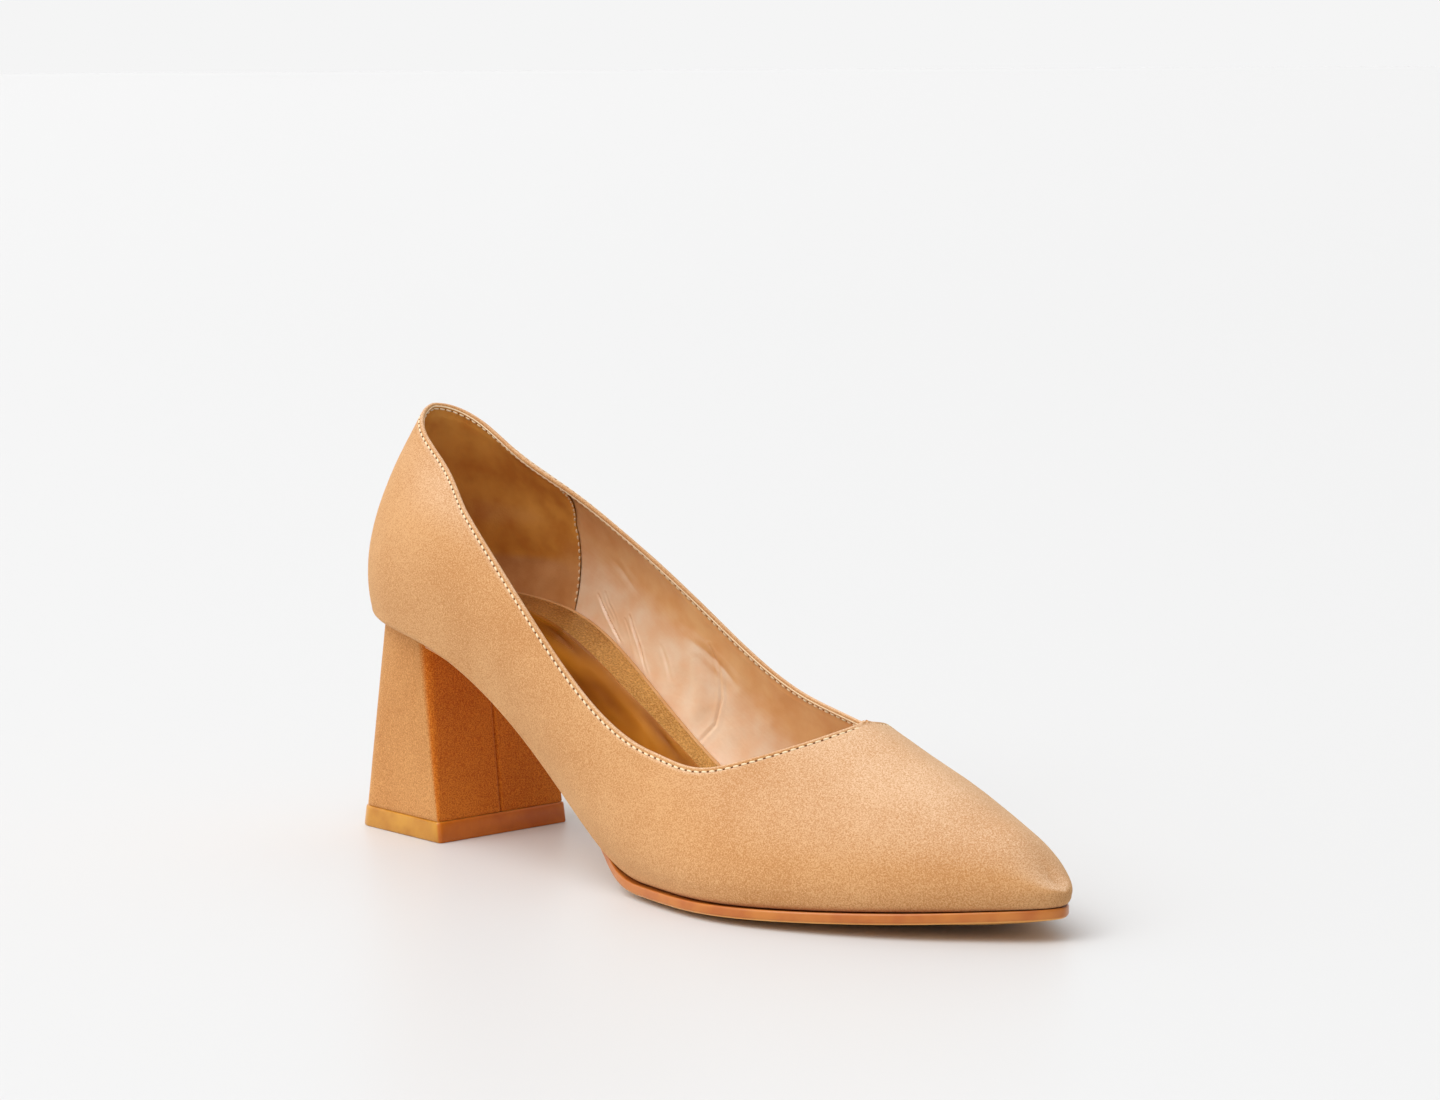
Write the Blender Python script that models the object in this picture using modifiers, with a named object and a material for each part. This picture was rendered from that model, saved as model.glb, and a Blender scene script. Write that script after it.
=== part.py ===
"""Block heel pump, a right shoe, standing on its heel and forefoot.

One frame for every piece: x runs from the back of the heel to the toe, y is positive towards the
inner (medial) side of the foot, z is the height above the floor. The empty called shoe moves that
frame so that the world origin lies in the middle of the heel's contact with the floor.
"""
import math

import bpy
import bmesh

MM = 0.001

# Driving sizes of the last
LENGTH = 240 * MM            # back of the seat to the tip of the toe
BALL_WIDTH = 78 * MM         # plan width at the ball
SEAT_RISE = 55.5 * MM        # how much higher the seat's back is than the tread
UPPER_DEPTH = 50 * MM        # height of the vamp over its feather line at the throat
COUNTER_HEIGHT = 60 * MM     # height of the topline over the feather line at the back
THROAT_X = 178 * MM          # how far forward the opening reaches
THROAT_RADIUS = 19 * MM      # plan radius of the opening's front
TOPLINE_BLEND = 4 * MM       # rounding between the opening's sides and its front
LATERAL_DROP = 7 * MM        # how much lower the outer topline is than the inner one
TOE_SWING = 9 * MM           # how far the toe tip swings to the inner side
TOE_SPRING = 4.3 * MM        # how far the toe tip lifts off the floor

# Thicknesses and clearances
WALL = 1.7 * MM              # upper and its lining
EDGE_RADIUS = 2.2 * MM       # where the upper turns under the foot
MARGIN = 10 * MM             # lasted margin under the insole
SOLE_EDGE = 2.5 * MM         # thickness of the outsole at its edge
SOLE_CROWN = 1.4 * MM        # how much thicker it is in the middle, where it stands
INSOLE = 2.6 * MM
GAP = 0.3 * MM               # between pieces that touch
INSOLE_INSET = 0.5 * MM      # between the insole and the wall beside it
TOE_CLEARANCE = 1.6 * MM     # more of it at the toe tip, where the vamp slopes over the insole
INSOLE_ROUND = 0.5 * MM      # rounding of the insole's upper edge
SOLE_PROUD = 0.8 * MM        # how far the sole's edge shows outside the upper at the forefoot
TOE_TUCK = 1.4 * MM          # how much less at the toe tip
WAIST_INSET = 5.2 * MM       # how far it lies inside the upper at the waist
SOLE_ROUND = 0.9 * MM        # rounding of the sole's lower edge

# Heel block
HEEL_BACK = 3.7 * MM         # back of the heel where it meets the floor
HEEL_BREAST = 42.5 * MM      # front of the heel where it meets the floor
HEEL_WIDTH = 45 * MM         # width at the breast
HEEL_TAPER = 1.5 * MM        # how much narrower each side is at the back
HEEL_CORNER = 6 * MM         # plan radius of the rear corners
BREAST_EDGE = 1.2 * MM       # plan radius of the front corners at the floor
BREAST_EDGE_TOP = 3.5 * MM   # and where they meet the upper
BREAST_LEAN = 6.5 * MM       # how much further back the breast is at its top
SEAT_INSET = 3.4 * MM        # how far the heel's top lies inside the seat
SEAT_TUCK = 2.0 * MM         # how much further inside it lies at the breast
TOP_PIECE = 5.6 * MM
TOP_PIECE_PROUD = 0.4 * MM
CORNER_START = 0.35          # share of the half outline from the back to the rear corner's start
CORNER_END = 0.60            # and to its end

TREAD_BACK = 0.56            # flat of the sole, as shares of the length
TREAD_FRONT = 0.63
SWING_START = 0.35           # where the toe starts to swing inwards
SWING_POWER = 1.6
SPRING_POWER = 1.5           # how softly the toe spring starts
TILT_REACH = 20 * MM         # half width over which the topline changes from outer to inner height
MARGIN_START = 0.12          # the lasted margin's edge aims at the middle line between these
MARGIN_END = 0.93
MARGIN_SHARE = 0.55          # most of the half width that the margin takes
TOE_START = 0.88             # where the insole and the sole start to draw in at the toe
SOLE_NARROW = 0.41           # the sole's edge comes out from under the upper between these
SOLE_FULL = 0.54

# Plan outline of the feather line: share of the length, share of half the ball width
OUTLINE = [
    (0.000, 0.000),
    (0.012, 0.270),
    (0.042, 0.490),
    (0.090, 0.635),
    (0.150, 0.700),
    (0.240, 0.695),
    (0.340, 0.662),
    (0.440, 0.710),
    (0.530, 0.825),
    (0.610, 0.945),
    (0.685, 1.000),
    (0.760, 0.922),
    (0.830, 0.762),
    (0.900, 0.535),
    (0.950, 0.335),
    (0.985, 0.165),
    (1.000, 0.000),
]

# Arch: share of the length, share of the seat's rise
ARCH = [
    (0.00, 1.000),
    (0.10, 0.950),
    (0.20, 0.862),
    (0.30, 0.630),
    (0.40, 0.313),
    (0.48, 0.088),
    (0.56, 0.000),
]

# Cross sections along the belt that runs round the foot from the heel's back (0) to the toe tip (1):
# where the ridge lies as a share of the length, its height over the feather line as a share of the
# upper's depth, and the section's outward lean, straight rise and shoulder as shares of that depth
SECTIONS = [
    (0.00, 0.119, 1.26, 0.12, 0.48, 0.13),
    (0.10, 0.146, 1.06, 0.13, 0.58, 0.20),
    (0.20, 0.219, 0.88, 0.13, 0.59, 0.38),
    (0.30, 0.323, 0.87, 0.18, 0.57, 0.46),
    (0.40, 0.440, 1.01, 0.24, 0.53, 0.55),
    (0.50, 0.565, 1.09, 0.25, 0.42, 0.56),
    (0.60, 0.680, 0.96, 0.18, 0.27, 0.46),
    (0.70, 0.777, 0.76, 0.09, 0.21, 0.33),
    (0.80, 0.855, 0.585, 0.05, 0.18, 0.24),
    (0.90, 0.923, 0.395, 0.04, 0.15, 0.16),
    (0.95, 0.957, 0.285, 0.03, 0.12, 0.10),
    (1.00, 0.980, 0.15, 0.02, 0.07, 0.07),
]

# Topline seen from the side: share of the length, share of the counter's height
TOPLINE = [
    (0.02, 1.020),
    (0.10, 0.885),
    (0.20, 0.750),
    (0.30, 0.689),
    (0.40, 0.680),
    (0.50, 0.662),
    (0.60, 0.584),
    (0.70, 0.506),
    (0.80, 0.520),
]

# Mesh density
BACK_STATIONS = 32           # columns of the upper behind the throat, round it and in front of it
THROAT_STATIONS = 6
FRONT_STATIONS = 13
THROAT_FAN = 0.09            # belt share over which the throat's columns fan out forwards
FINE_STEPS = 12              # trial stations for each one that is kept
WALL_ROWS = 13
UNDER_SHARES = (1.0, 0.6, 0.25)   # rows of the lasted margin, as shares of its width
UNDER_ANGLES = (90, 60, 30)       # rows of the rounded turn under the foot, in degrees
SOLE_STATIONS = 34
SOLE_COLUMNS = 4
HEEL_LEVELS = 6
HEEL_SIDE = 16               # points from the middle of the heel's back to its front corner
CORNER_POINTS = 4
MERGE = 0.002 * MM           # points nearer than this are one

MATERIALS = {
    "suede": ((0.73, 0.44, 0.20), 0.85),
    "heel_suede": ((0.62, 0.34, 0.13), 0.85),
    "sole_resin": ((0.47, 0.15, 0.04), 0.45),
    "sock_gold": ((0.42, 0.19, 0.03), 0.40),
    "heel_tip_resin": ((0.58, 0.28, 0.09), 0.40),
}


class Curve:
    """Natural cubic spline through rows of (parameter, value, value, ...)."""

    def __init__(self, rows):
        self.rows = rows
        self.knots = [row[0] for row in rows]
        self.bends = [self._bends(column) for column in range(1, len(rows[0]))]

    def _bends(self, column):
        """Second derivatives at the knots, from the usual tridiagonal system."""
        knots = self.knots
        values = [row[column] for row in self.rows]
        upper = [0.0]
        right = [0.0]
        for i in range(1, len(knots) - 1):
            before = knots[i] - knots[i - 1]
            after = knots[i + 1] - knots[i]
            jump = (values[i + 1] - values[i]) / after - (values[i] - values[i - 1]) / before
            pivot = 2 * (before + after) - before * upper[-1]
            upper.append(after / pivot)
            right.append((6 * jump - before * right[-1]) / pivot)
        bends = [0.0] * len(knots)
        for i in range(len(knots) - 2, 0, -1):
            bends[i] = right[i] - upper[i] * bends[i + 1]
        return bends

    def at(self, parameter):
        i = 0
        while i < len(self.knots) - 2 and parameter > self.knots[i + 1]:
            i += 1
        step = self.knots[i + 1] - self.knots[i]
        b = (parameter - self.knots[i]) / step
        a = 1 - b
        result = []
        for column, bends in enumerate(self.bends, start=1):
            line = a * self.rows[i][column] + b * self.rows[i + 1][column]
            curl = (a ** 3 - a) * bends[i] + (b ** 3 - b) * bends[i + 1]
            result.append(line + curl * step * step / 6)
        return result


def mirrored(rows, odd_columns, start=True, end=True):
    """The rows with their mirror images past the ends, so that the curve meets them squarely."""
    signs = [-1 if column in odd_columns else 1 for column in range(1, len(rows[0]))]

    def image(row, centre):
        return (2 * centre - row[0],) + tuple(s * value for s, value in zip(signs, row[1:]))

    head = [image(row, rows[0][0]) for row in reversed(rows[1:4])] if start else []
    tail = [image(row, rows[-1][0]) for row in reversed(rows[-4:-1])] if end else []
    return head + rows + tail


def blend_step(share):
    share = min(max(share, 0.0), 1.0)
    return share * share * (3 - 2 * share)


def belt_rows():
    """Outline rows by their share of the belt: (belt share, x, half width)."""
    points = [(x * LENGTH, w * BALL_WIDTH / 2) for x, w in OUTLINE]
    lengths = [0.0]
    for (x0, w0), (x1, w1) in zip(points, points[1:]):
        lengths.append(lengths[-1] + math.hypot(x1 - x0, w1 - w0))
    return [(length / lengths[-1], x, w) for length, (x, w) in zip(lengths, points)]


OUTLINE_CURVE = Curve(mirrored(belt_rows(), odd_columns=[2]))
SECTION_CURVE = Curve(mirrored(SECTIONS, odd_columns=[]))
ARCH_CURVE = Curve(mirrored(ARCH, odd_columns=[], start=False))
TOPLINE_CURVE = Curve(TOPLINE)


def centre_line(x):
    """Sideways place of the foot's middle, which swings inwards towards the toe."""
    share = (x / LENGTH - SWING_START) / (1 - SWING_START)
    return TOE_SWING * max(share, 0.0) ** SWING_POWER


def underside(x):
    """Height of the upper's underside: seat, arch, tread and toe spring."""
    share = x / LENGTH
    tread = SOLE_EDGE + SOLE_CROWN + GAP
    if share < TREAD_BACK:
        return tread + SEAT_RISE * ARCH_CURVE.at(max(share, 0.0))[0]
    lift = max(share - TREAD_FRONT, 0.0) / (1 - TREAD_FRONT)
    return tread + TOE_SPRING * lift ** SPRING_POWER


def layer(x, height):
    """Height of a layer that lies that far above the underside, measured square to it."""
    reach = LENGTH / 500
    slope = (underside(x + reach) - underside(x - reach)) / (2 * reach)
    return underside(x) + height * math.sqrt(1 + slope * slope)


def outline(belt, offset=0.0):
    """Plan point (x, half width) of the outline, moved outwards by the offset."""
    x, half = OUTLINE_CURVE.at(belt)
    if offset == 0.0:
        return x, half
    step = 0.002
    x0, half0 = OUTLINE_CURVE.at(belt - step)
    x1, half1 = OUTLINE_CURVE.at(belt + step)
    run = math.hypot(x1 - x0, half1 - half0)
    return x - offset * (half1 - half0) / run, half + offset * (x1 - x0) / run


def belt_at(x):
    """Belt share at which the outline passes x."""
    low, high = 0.0, 1.0
    for _ in range(40):
        middle = (low + high) / 2
        if outline(middle)[0] < x:
            low = middle
        else:
            high = middle
    return (low + high) / 2


def place(x, half, side, z):
    """Point of the foot on one side: side is -1 for the outer and 1 for the inner side."""
    return (x, centre_line(x) + side * half, z)


def ridge(belt):
    """Ridge point over a station: (x, z)."""
    x_share, depth_share = SECTION_CURVE.at(belt)[:2]
    foot_x = outline(belt)[0]
    return x_share * LENGTH, underside(foot_x) + depth_share * UPPER_DEPTH


def ridge_slope(belt):
    step = 0.004
    before = ridge(min(max(belt - step, 0.0), 1 - 2 * step))
    after = ridge(min(max(belt + step, 2 * step), 1.0))
    return (after[1] - before[1]) / (after[0] - before[0])


def section(belt, side):
    """The four control points of a station's section, from the feather line up to the ridge."""
    lean, rise, shoulder = [share * UPPER_DEPTH for share in SECTION_CURVE.at(belt)[2:]]
    x, half = outline(belt)
    foot = place(x, half, side, underside(x) + EDGE_RADIUS)
    lean_x, lean_half = outline(belt, lean)
    low = place(lean_x, lean_half, side, foot[2] + rise)
    top_x, top_z = ridge(belt)
    top = (top_x, centre_line(top_x), top_z)
    out_x = foot[0] - top[0]
    out_y = foot[1] - top[1]
    run = math.hypot(out_x, out_y)
    high = (top[0] + shoulder * out_x / run,
            top[1] + shoulder * out_y / run,
            top[2] + shoulder * out_x / run * ridge_slope(belt))
    return foot, low, high, top


def on_section(controls, share):
    back = 1 - share
    weights = (back ** 3, 3 * share * back ** 2, 3 * share ** 2 * back, share ** 3)
    return tuple(sum(w * point[i] for w, point in zip(weights, controls)) for i in range(3))


def opening(point):
    """Positive inside the opening: above the topline's profile and behind the throat's arc."""
    x, y, z = point
    half = y - centre_line(x)
    tilt = LATERAL_DROP / 2 * max(-1.0, min(1.0, half / TILT_REACH))
    topline = underside(x) + TOPLINE_CURVE.at(x / LENGTH)[0] * COUNTER_HEIGHT + tilt
    above = z - topline
    behind = THROAT_X - half * half / (2 * THROAT_RADIUS) - x
    low = min(above, behind)
    mix = math.exp((low - above) / TOPLINE_BLEND) + math.exp((low - behind) / TOPLINE_BLEND)
    return low - TOPLINE_BLEND * math.log(mix)


def topline_share(controls):
    """Where a section leaves the upper: 1 on the vamp, less where the opening cuts it."""
    steps = 40
    for i in range(1, steps + 1):
        if opening(on_section(controls, i / steps)) > 0:
            low, high = (i - 1) / steps, i / steps
            for _ in range(25):
                middle = (low + high) / 2
                if opening(on_section(controls, middle)) > 0:
                    high = middle
                else:
                    low = middle
            return low
    return 1.0


def throat_belt():
    """Belt share of the station whose ridge point is the middle of the throat."""
    low, high = 0.4, 0.9
    for _ in range(40):
        middle = (low + high) / 2
        x, z = ridge(middle)
        if opening((x, centre_line(x), z)) > 0:
            low = middle
        else:
            high = middle
    return high


def even_belts(start, end, count, point):
    """Stations that part the line of points over the belt into equal lengths."""
    fine = FINE_STEPS * count
    belts = [start + (end - start) * i / fine for i in range(fine + 1)]
    points = [point(belt) for belt in belts]
    runs = [0.0]
    for a, b in zip(points, points[1:]):
        runs.append(runs[-1] + math.dist(a, b))
    picked = []
    j = 0
    for i in range(count + 1):
        goal = runs[-1] * i / count
        while j < fine - 1 and runs[j + 1] < goal:
            j += 1
        share = (goal - runs[j]) / (runs[j + 1] - runs[j])
        picked.append(belts[j] + (belts[j + 1] - belts[j]) * min(share, 1.0))
    picked[-1] = end
    return picked


def throat_edge(throat, side, share):
    """Belt share at which the opening's front crosses that share of the sections."""
    low, high = throat, throat + THROAT_FAN
    for _ in range(30):
        middle = (low + high) / 2
        if opening(on_section(section(middle, side), share)) > 0:
            low = middle
        else:
            high = middle
    return low


def columns_of(side):
    """The upper's columns on one side: belt share at the foot, belt share at the top, and the
    share of the section there. They end on the topline, on the throat's arc, then on the ridge."""
    throat = throat_belt()
    fan_end = throat + THROAT_FAN

    def foot_point(belt):
        return section(belt, side)[0]

    def topline_point(belt):
        controls = section(belt, side)
        return on_section(controls, topline_share(controls))

    def ridge_point(belt):
        return section(belt, side)[3]

    columns = []
    feet = even_belts(0.0, throat, BACK_STATIONS, foot_point)
    tops = even_belts(0.0, throat, BACK_STATIONS, topline_point)
    for foot, top in zip(feet, tops):
        columns.append((foot, top, topline_share(section(top, side))))
    arc_start = columns[-1][2]
    for i in range(1, THROAT_STATIONS + 1):
        along = i / THROAT_STATIONS
        share = arc_start + (1 - arc_start) * along
        top = throat_edge(throat, side, share) if i < THROAT_STATIONS else throat
        columns.append((throat + THROAT_FAN * along, top, share))
    feet = even_belts(fan_end, 1.0, FRONT_STATIONS, foot_point)
    tops = even_belts(throat, 1.0, FRONT_STATIONS, ridge_point)
    columns += [(foot, top, 1.0) for foot, top in zip(feet[1:], tops[1:])]
    return columns


def under_rows(belt, side):
    """Points from the margin's inner edge out to the feather line, on the upper's outer face."""
    x, half = outline(belt)
    centre_x = min(max(x, MARGIN_START * LENGTH), MARGIN_END * LENGTH)
    run = math.hypot(centre_x - x, half)
    aim_x = (centre_x - x) / run
    aim_half = -half / run
    width = min(MARGIN, MARGIN_SHARE * run)
    points = []
    for share in UNDER_SHARES:
        reach = EDGE_RADIUS + share * (width - EDGE_RADIUS)
        px = x + aim_x * reach
        points.append(place(px, half + aim_half * reach, side, underside(px)))
    for angle in UNDER_ANGLES:
        reach = EDGE_RADIUS * (1 - math.cos(math.radians(angle)))
        drop = EDGE_RADIUS * (1 - math.sin(math.radians(angle)))
        px = x + aim_x * reach
        points.append(place(px, half + aim_half * reach, side, underside(px) + drop))
    return points


def mesh_object(name, vertices, faces, material, parent):
    """A named mesh object from points and faces; points that coincide are joined."""
    mesh = bpy.data.meshes.new(name)
    mesh.from_pydata(vertices, [], faces)
    work = bmesh.new()
    work.from_mesh(mesh)
    bmesh.ops.remove_doubles(work, verts=work.verts, dist=MERGE)
    bmesh.ops.dissolve_degenerate(work, edges=work.edges, dist=MERGE / 10)
    bmesh.ops.recalc_face_normals(work, faces=work.faces)
    work.to_mesh(mesh)
    work.free()
    for polygon in mesh.polygons:
        polygon.use_smooth = True
    mesh.materials.append(material)
    item = bpy.data.objects.new(name, mesh)
    bpy.context.scene.collection.objects.link(item)
    item.parent = parent
    return item


def grid_faces(columns, rows, start=0):
    """Quads of a grid whose points are listed column by column."""
    faces = []
    for i in range(columns - 1):
        for j in range(rows - 1):
            a = start + i * rows + j
            faces.append((a, a + rows, a + rows + 1, a + 1))
    return faces


def build_upper(materials, parent):
    """One hollow wall: lasted margin, sides, counter and vamp, open at the collar and below."""
    vertices = []
    faces = []
    for side in (-1, 1):
        start = len(vertices)
        columns = columns_of(side)
        for foot, top, top_share in columns:
            column = under_rows(foot, side)
            for i in range(WALL_ROWS + 1):
                share = i / WALL_ROWS
                controls = section(foot + (top - foot) * share, side)
                column.append(on_section(controls, top_share * share))
            vertices += column
        faces += grid_faces(len(columns), len(column), start)
    upper = mesh_object("upper", vertices, faces, materials["suede"], parent)
    turn_outwards(upper)
    wall = upper.modifiers.new("wall", "SOLIDIFY")
    wall.thickness = WALL
    wall.offset = -1
    wall.use_even_offset = True
    wall.thickness_clamp = 0.0
    return upper


def turn_outwards(item):
    """An open shell's normals point away from the foot's inside."""
    inside = (0.5 * LENGTH, centre_line(0.5 * LENGTH), underside(0.5 * LENGTH) + UPPER_DEPTH / 2)
    mesh = item.data
    score = 0.0
    for polygon in mesh.polygons:
        away = [c - i for c, i in zip(polygon.center, inside)]
        score += polygon.area * sum(n * a for n, a in zip(polygon.normal, away))
    if score < 0:
        mesh.flip_normals()


def across(first, last, crown=0.0):
    """Points in a line across the foot; all but its ends are lowered by the crown."""
    points = []
    for k in range(SOLE_COLUMNS + 1):
        share = k / SOLE_COLUMNS
        x, y, z = [a + (b - a) * share for a, b in zip(first, last)]
        points.append((x, y, z if k in (0, SOLE_COLUMNS) else z - crown))
    return points


def slab(name, belts, rings, layers, crown, material, parent, square_back=False):
    """A closed sheet under the foot: rings of (offset, height) from its top edge to its bottom
    edge, with a grid across at the top and one at the bottom that the crown makes thicker."""
    vertices = []
    faces = []
    columns = SOLE_COLUMNS + 1

    def crown_at(belt):
        return crown * blend_step(outline(belt)[1] / (BALL_WIDTH / 4))

    def ring_point(belt, side, ring):
        offset, height = rings(belt)[ring]
        x, half = outline(belt, offset)
        if square_back and belt == belts[0]:
            x = outline(belt)[0]
        return place(x, max(half, 0.0), side, layer(x, height))

    for side in (-1, 1):
        start = len(vertices)
        for belt in belts:
            vertices += [ring_point(belt, side, ring) for ring in range(layers)]
        faces += grid_faces(len(belts), layers, start)
    for ring in (0, layers - 1):
        start = len(vertices)
        for belt in belts:
            drop = crown_at(belt) if ring else 0.0
            vertices += across(ring_point(belt, -1, ring), ring_point(belt, 1, ring), drop)
        faces += grid_faces(len(belts), columns, start)
    if square_back:
        outer = [ring_point(belts[0], -1, ring) for ring in range(layers)]
        inner = [ring_point(belts[0], 1, ring) for ring in range(layers)]
        start = len(vertices)
        rim = outer[:-1] + across(outer[-1], inner[-1], crown_at(belts[0]))
        rim += inner[-2:0:-1] + across(inner[0], outer[0])[:-1]
        vertices += rim
        faces.append(tuple(range(start, start + len(rim))))
    return mesh_object(name, vertices, faces, material, parent)


def steady_belts(start, end, count):
    return [start + (end - start) * i / count for i in range(count + 1)]


def build_outsole(materials, parent):
    """Thin sole from the heel's breast to the toe, with its lower edge rounded."""
    def rings(belt):
        share = outline(belt)[0] / LENGTH
        out = blend_step((share - SOLE_NARROW) / (SOLE_FULL - SOLE_NARROW))
        toe = blend_step((share - TOE_START) / (1 - TOE_START))
        offset = SOLE_PROUD * out - WAIST_INSET * (1 - out) - TOE_TUCK * toe
        bevel = SOLE_ROUND * (1 - math.cos(math.radians(45)))
        return [(offset, -GAP),
                (offset, -GAP - SOLE_EDGE + SOLE_ROUND),
                (offset - bevel, -GAP - SOLE_EDGE + bevel),
                (offset - SOLE_ROUND, -GAP - SOLE_EDGE)]

    belts = steady_belts(belt_at(sole_back()), 1.0, SOLE_STATIONS)
    return slab("outsole", belts, rings, 4, SOLE_CROWN, materials["sole_resin"], parent, square_back=True)


def build_insole(materials, parent):
    """Sock and board in one sheet, seated on the lasted margin inside the upper."""
    seat = WALL + GAP

    def rings(belt):
        share = outline(belt)[0] / LENGTH
        toe = blend_step((share - TOE_START) / (1 - TOE_START))
        inset = WALL + INSOLE_INSET + TOE_CLEARANCE * toe
        return [(-inset - INSOLE_ROUND, seat + INSOLE),
                (-inset, seat + INSOLE - INSOLE_ROUND),
                (-inset, seat)]

    belts = steady_belts(0.0, 1.0, SOLE_STATIONS)
    return slab("insole", belts, rings, 3, 0.0, materials["sock_gold"], parent)


def breast_top():
    """Where the heel's front meets the upper."""
    return HEEL_BREAST - BREAST_LEAN


def sole_back():
    """Where the sole ends, clear of the breast that leans towards it further down."""
    top = breast_top()
    seat = layer(top, -GAP)
    lean = BREAST_LEAN / seat
    return top + GAP + lean * (seat - layer(top, -2 * GAP - SOLE_EDGE - SOLE_CROWN))


def corner_arc(x, half, radius):
    """Quarter round from the side into the breast, ending on the breast."""
    points = []
    for i in range(CORNER_POINTS + 1):
        angle = math.radians(90 * i / CORNER_POINTS)
        points.append((x - radius + radius * math.sin(angle), half - radius + radius * math.cos(angle)))
    return points


def heel_outlines():
    """Half outlines of the heel from the middle of its back to its front corner, at the floor and
    at the seat, with matching points."""
    floor = []
    seat = []
    breast = breast_top()
    last_belt = belt_at(breast - BREAST_EDGE_TOP)
    half_back = HEEL_WIDTH / 2 - HEEL_TAPER
    straight = HEEL_BREAST - BREAST_EDGE - HEEL_BACK - HEEL_CORNER
    for i in range(HEEL_SIDE + 1):
        share = i / HEEL_SIDE
        x, half = outline(last_belt * share, -SEAT_INSET)
        tuck = SEAT_TUCK * blend_step(x / breast)
        seat.append((x, max(half - tuck, 0.0)))
        if share < CORNER_START:
            floor.append((HEEL_BACK, (half_back - HEEL_CORNER) * share / CORNER_START))
        elif share < CORNER_END:
            angle = math.radians(90 * (share - CORNER_START) / (CORNER_END - CORNER_START))
            floor.append((HEEL_BACK + HEEL_CORNER * (1 - math.cos(angle)),
                          half_back - HEEL_CORNER * (1 - math.sin(angle))))
        else:
            along = (share - CORNER_END) / (1 - CORNER_END)
            floor.append((HEEL_BACK + HEEL_CORNER + straight * along,
                          half_back + HEEL_TAPER * along))
    seat[0] = (seat[0][0], 0.0)
    seat_half = seat[-1][1]
    floor += corner_arc(HEEL_BREAST, HEEL_WIDTH / 2, BREAST_EDGE)[1:]
    seat += corner_arc(breast, seat_half, BREAST_EDGE_TOP)[1:]
    return floor, seat


def heel_level(floor, seat, height, offset=0.0):
    """Half outline of the heel at a height, or along the seat where the height is None."""
    level = []
    for (x0, half0), (x1, half1) in zip(floor, seat):
        top = layer(x1, -GAP)
        share = 1.0 if height is None else height / top
        x = x0 + (x1 - x0) * share
        half = half0 + (half1 - half0) * share
        level.append((x, half, top if height is None else height))
    if offset == 0.0:
        return level
    moved = []
    for i, (x, half, z) in enumerate(level):
        xa, ha, _ = level[max(i - 1, 0)]
        xb, hb, _ = level[min(i + 1, len(level) - 1)]
        if i == 0:
            moved.append((x - offset, 0.0, z))
        elif i == len(level) - 1:
            moved.append((x + offset, half, z))
        else:
            run = math.hypot(xb - xa, hb - ha)
            moved.append((x - offset * (hb - ha) / run, half + offset * (xb - xa) / run, z))
    return moved


def block(name, levels, material, parent):
    """A closed block from half outlines stacked from bottom to top."""
    vertices = []
    faces = []
    count = len(levels[0])
    for side in (-1, 1):
        start = len(vertices)
        for level in levels:
            vertices += [(x, side * half, z) for x, half, z in level]
        faces += grid_faces(len(levels), count, start)
    second = len(vertices) // 2
    for row in range(len(levels) - 1):
        a = row * count + count - 1
        faces.append((a, a + count, second + a + count, second + a))
    for row in (0, len(levels) - 1):
        for j in range(count - 1):
            a = row * count + j
            faces.append((a, a + 1, second + a + 1, second + a))
    item = mesh_object(name, vertices, faces, material, parent)
    for polygon in item.data.polygons:
        polygon.use_smooth = False
    return item


def build_heel(materials, parent):
    """Covered block between the seat and the top piece."""
    floor, seat = heel_outlines()
    bottom = TOP_PIECE + GAP
    lowest_top = min(layer(x, -GAP) for x, _ in seat)
    levels = [heel_level(floor, seat, bottom, -TOP_PIECE_PROUD)]
    for i in range(1, HEEL_LEVELS):
        share = i / HEEL_LEVELS
        height = bottom + (lowest_top - bottom) * share
        fade = -TOP_PIECE_PROUD * (1 - share)
        levels.append(heel_level(floor, seat, height, fade))
    levels.append(heel_level(floor, seat, None))
    return block("heel", levels, materials["heel_suede"], parent)


def build_top_piece(materials, parent):
    """Resin plate that the heel stands on."""
    floor, seat = heel_outlines()
    levels = [heel_level(floor, seat, 0.0), heel_level(floor, seat, TOP_PIECE)]
    return block("top_piece", levels, materials["heel_tip_resin"], parent)


def make_materials():
    made = {}
    for name, (colour, roughness) in MATERIALS.items():
        material = bpy.data.materials.new(name)
        material.use_nodes = True
        shader = material.node_tree.nodes["Principled BSDF"]
        shader.inputs["Base Color"].default_value = (*colour, 1.0)
        shader.inputs["Roughness"].default_value = roughness
        made[name] = material
    return made


def clear_scene():
    for item in list(bpy.data.objects):
        bpy.data.objects.remove(item)


def main():
    clear_scene()
    materials = make_materials()
    shoe = bpy.data.objects.new("shoe", None)
    shoe.location = (-(HEEL_BACK + HEEL_BREAST) / 2, 0.0, 0.0)
    bpy.context.scene.collection.objects.link(shoe)
    build_upper(materials, shoe)
    build_outsole(materials, shoe)
    build_insole(materials, shoe)
    build_heel(materials, shoe)
    build_top_piece(materials, shoe)


main()
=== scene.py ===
# %% [markdown]
# # Block heel pump: a lesson in dressing a shoe
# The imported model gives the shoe's true form: a hollow upper, an insole, a thin outsole, a heel
# block and its top piece. This script draws the same forms again with far more points, so that it
# can add what a shoemaker's hands leave behind: a folded and stitched topline, linings that wrinkle,
# a sock, a covered heel with its seam, and moulded resin edges.

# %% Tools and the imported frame
import math

import bpy
import bmesh
from mathutils import Matrix, Vector, noise
from mathutils.kdtree import KDTree


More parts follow.
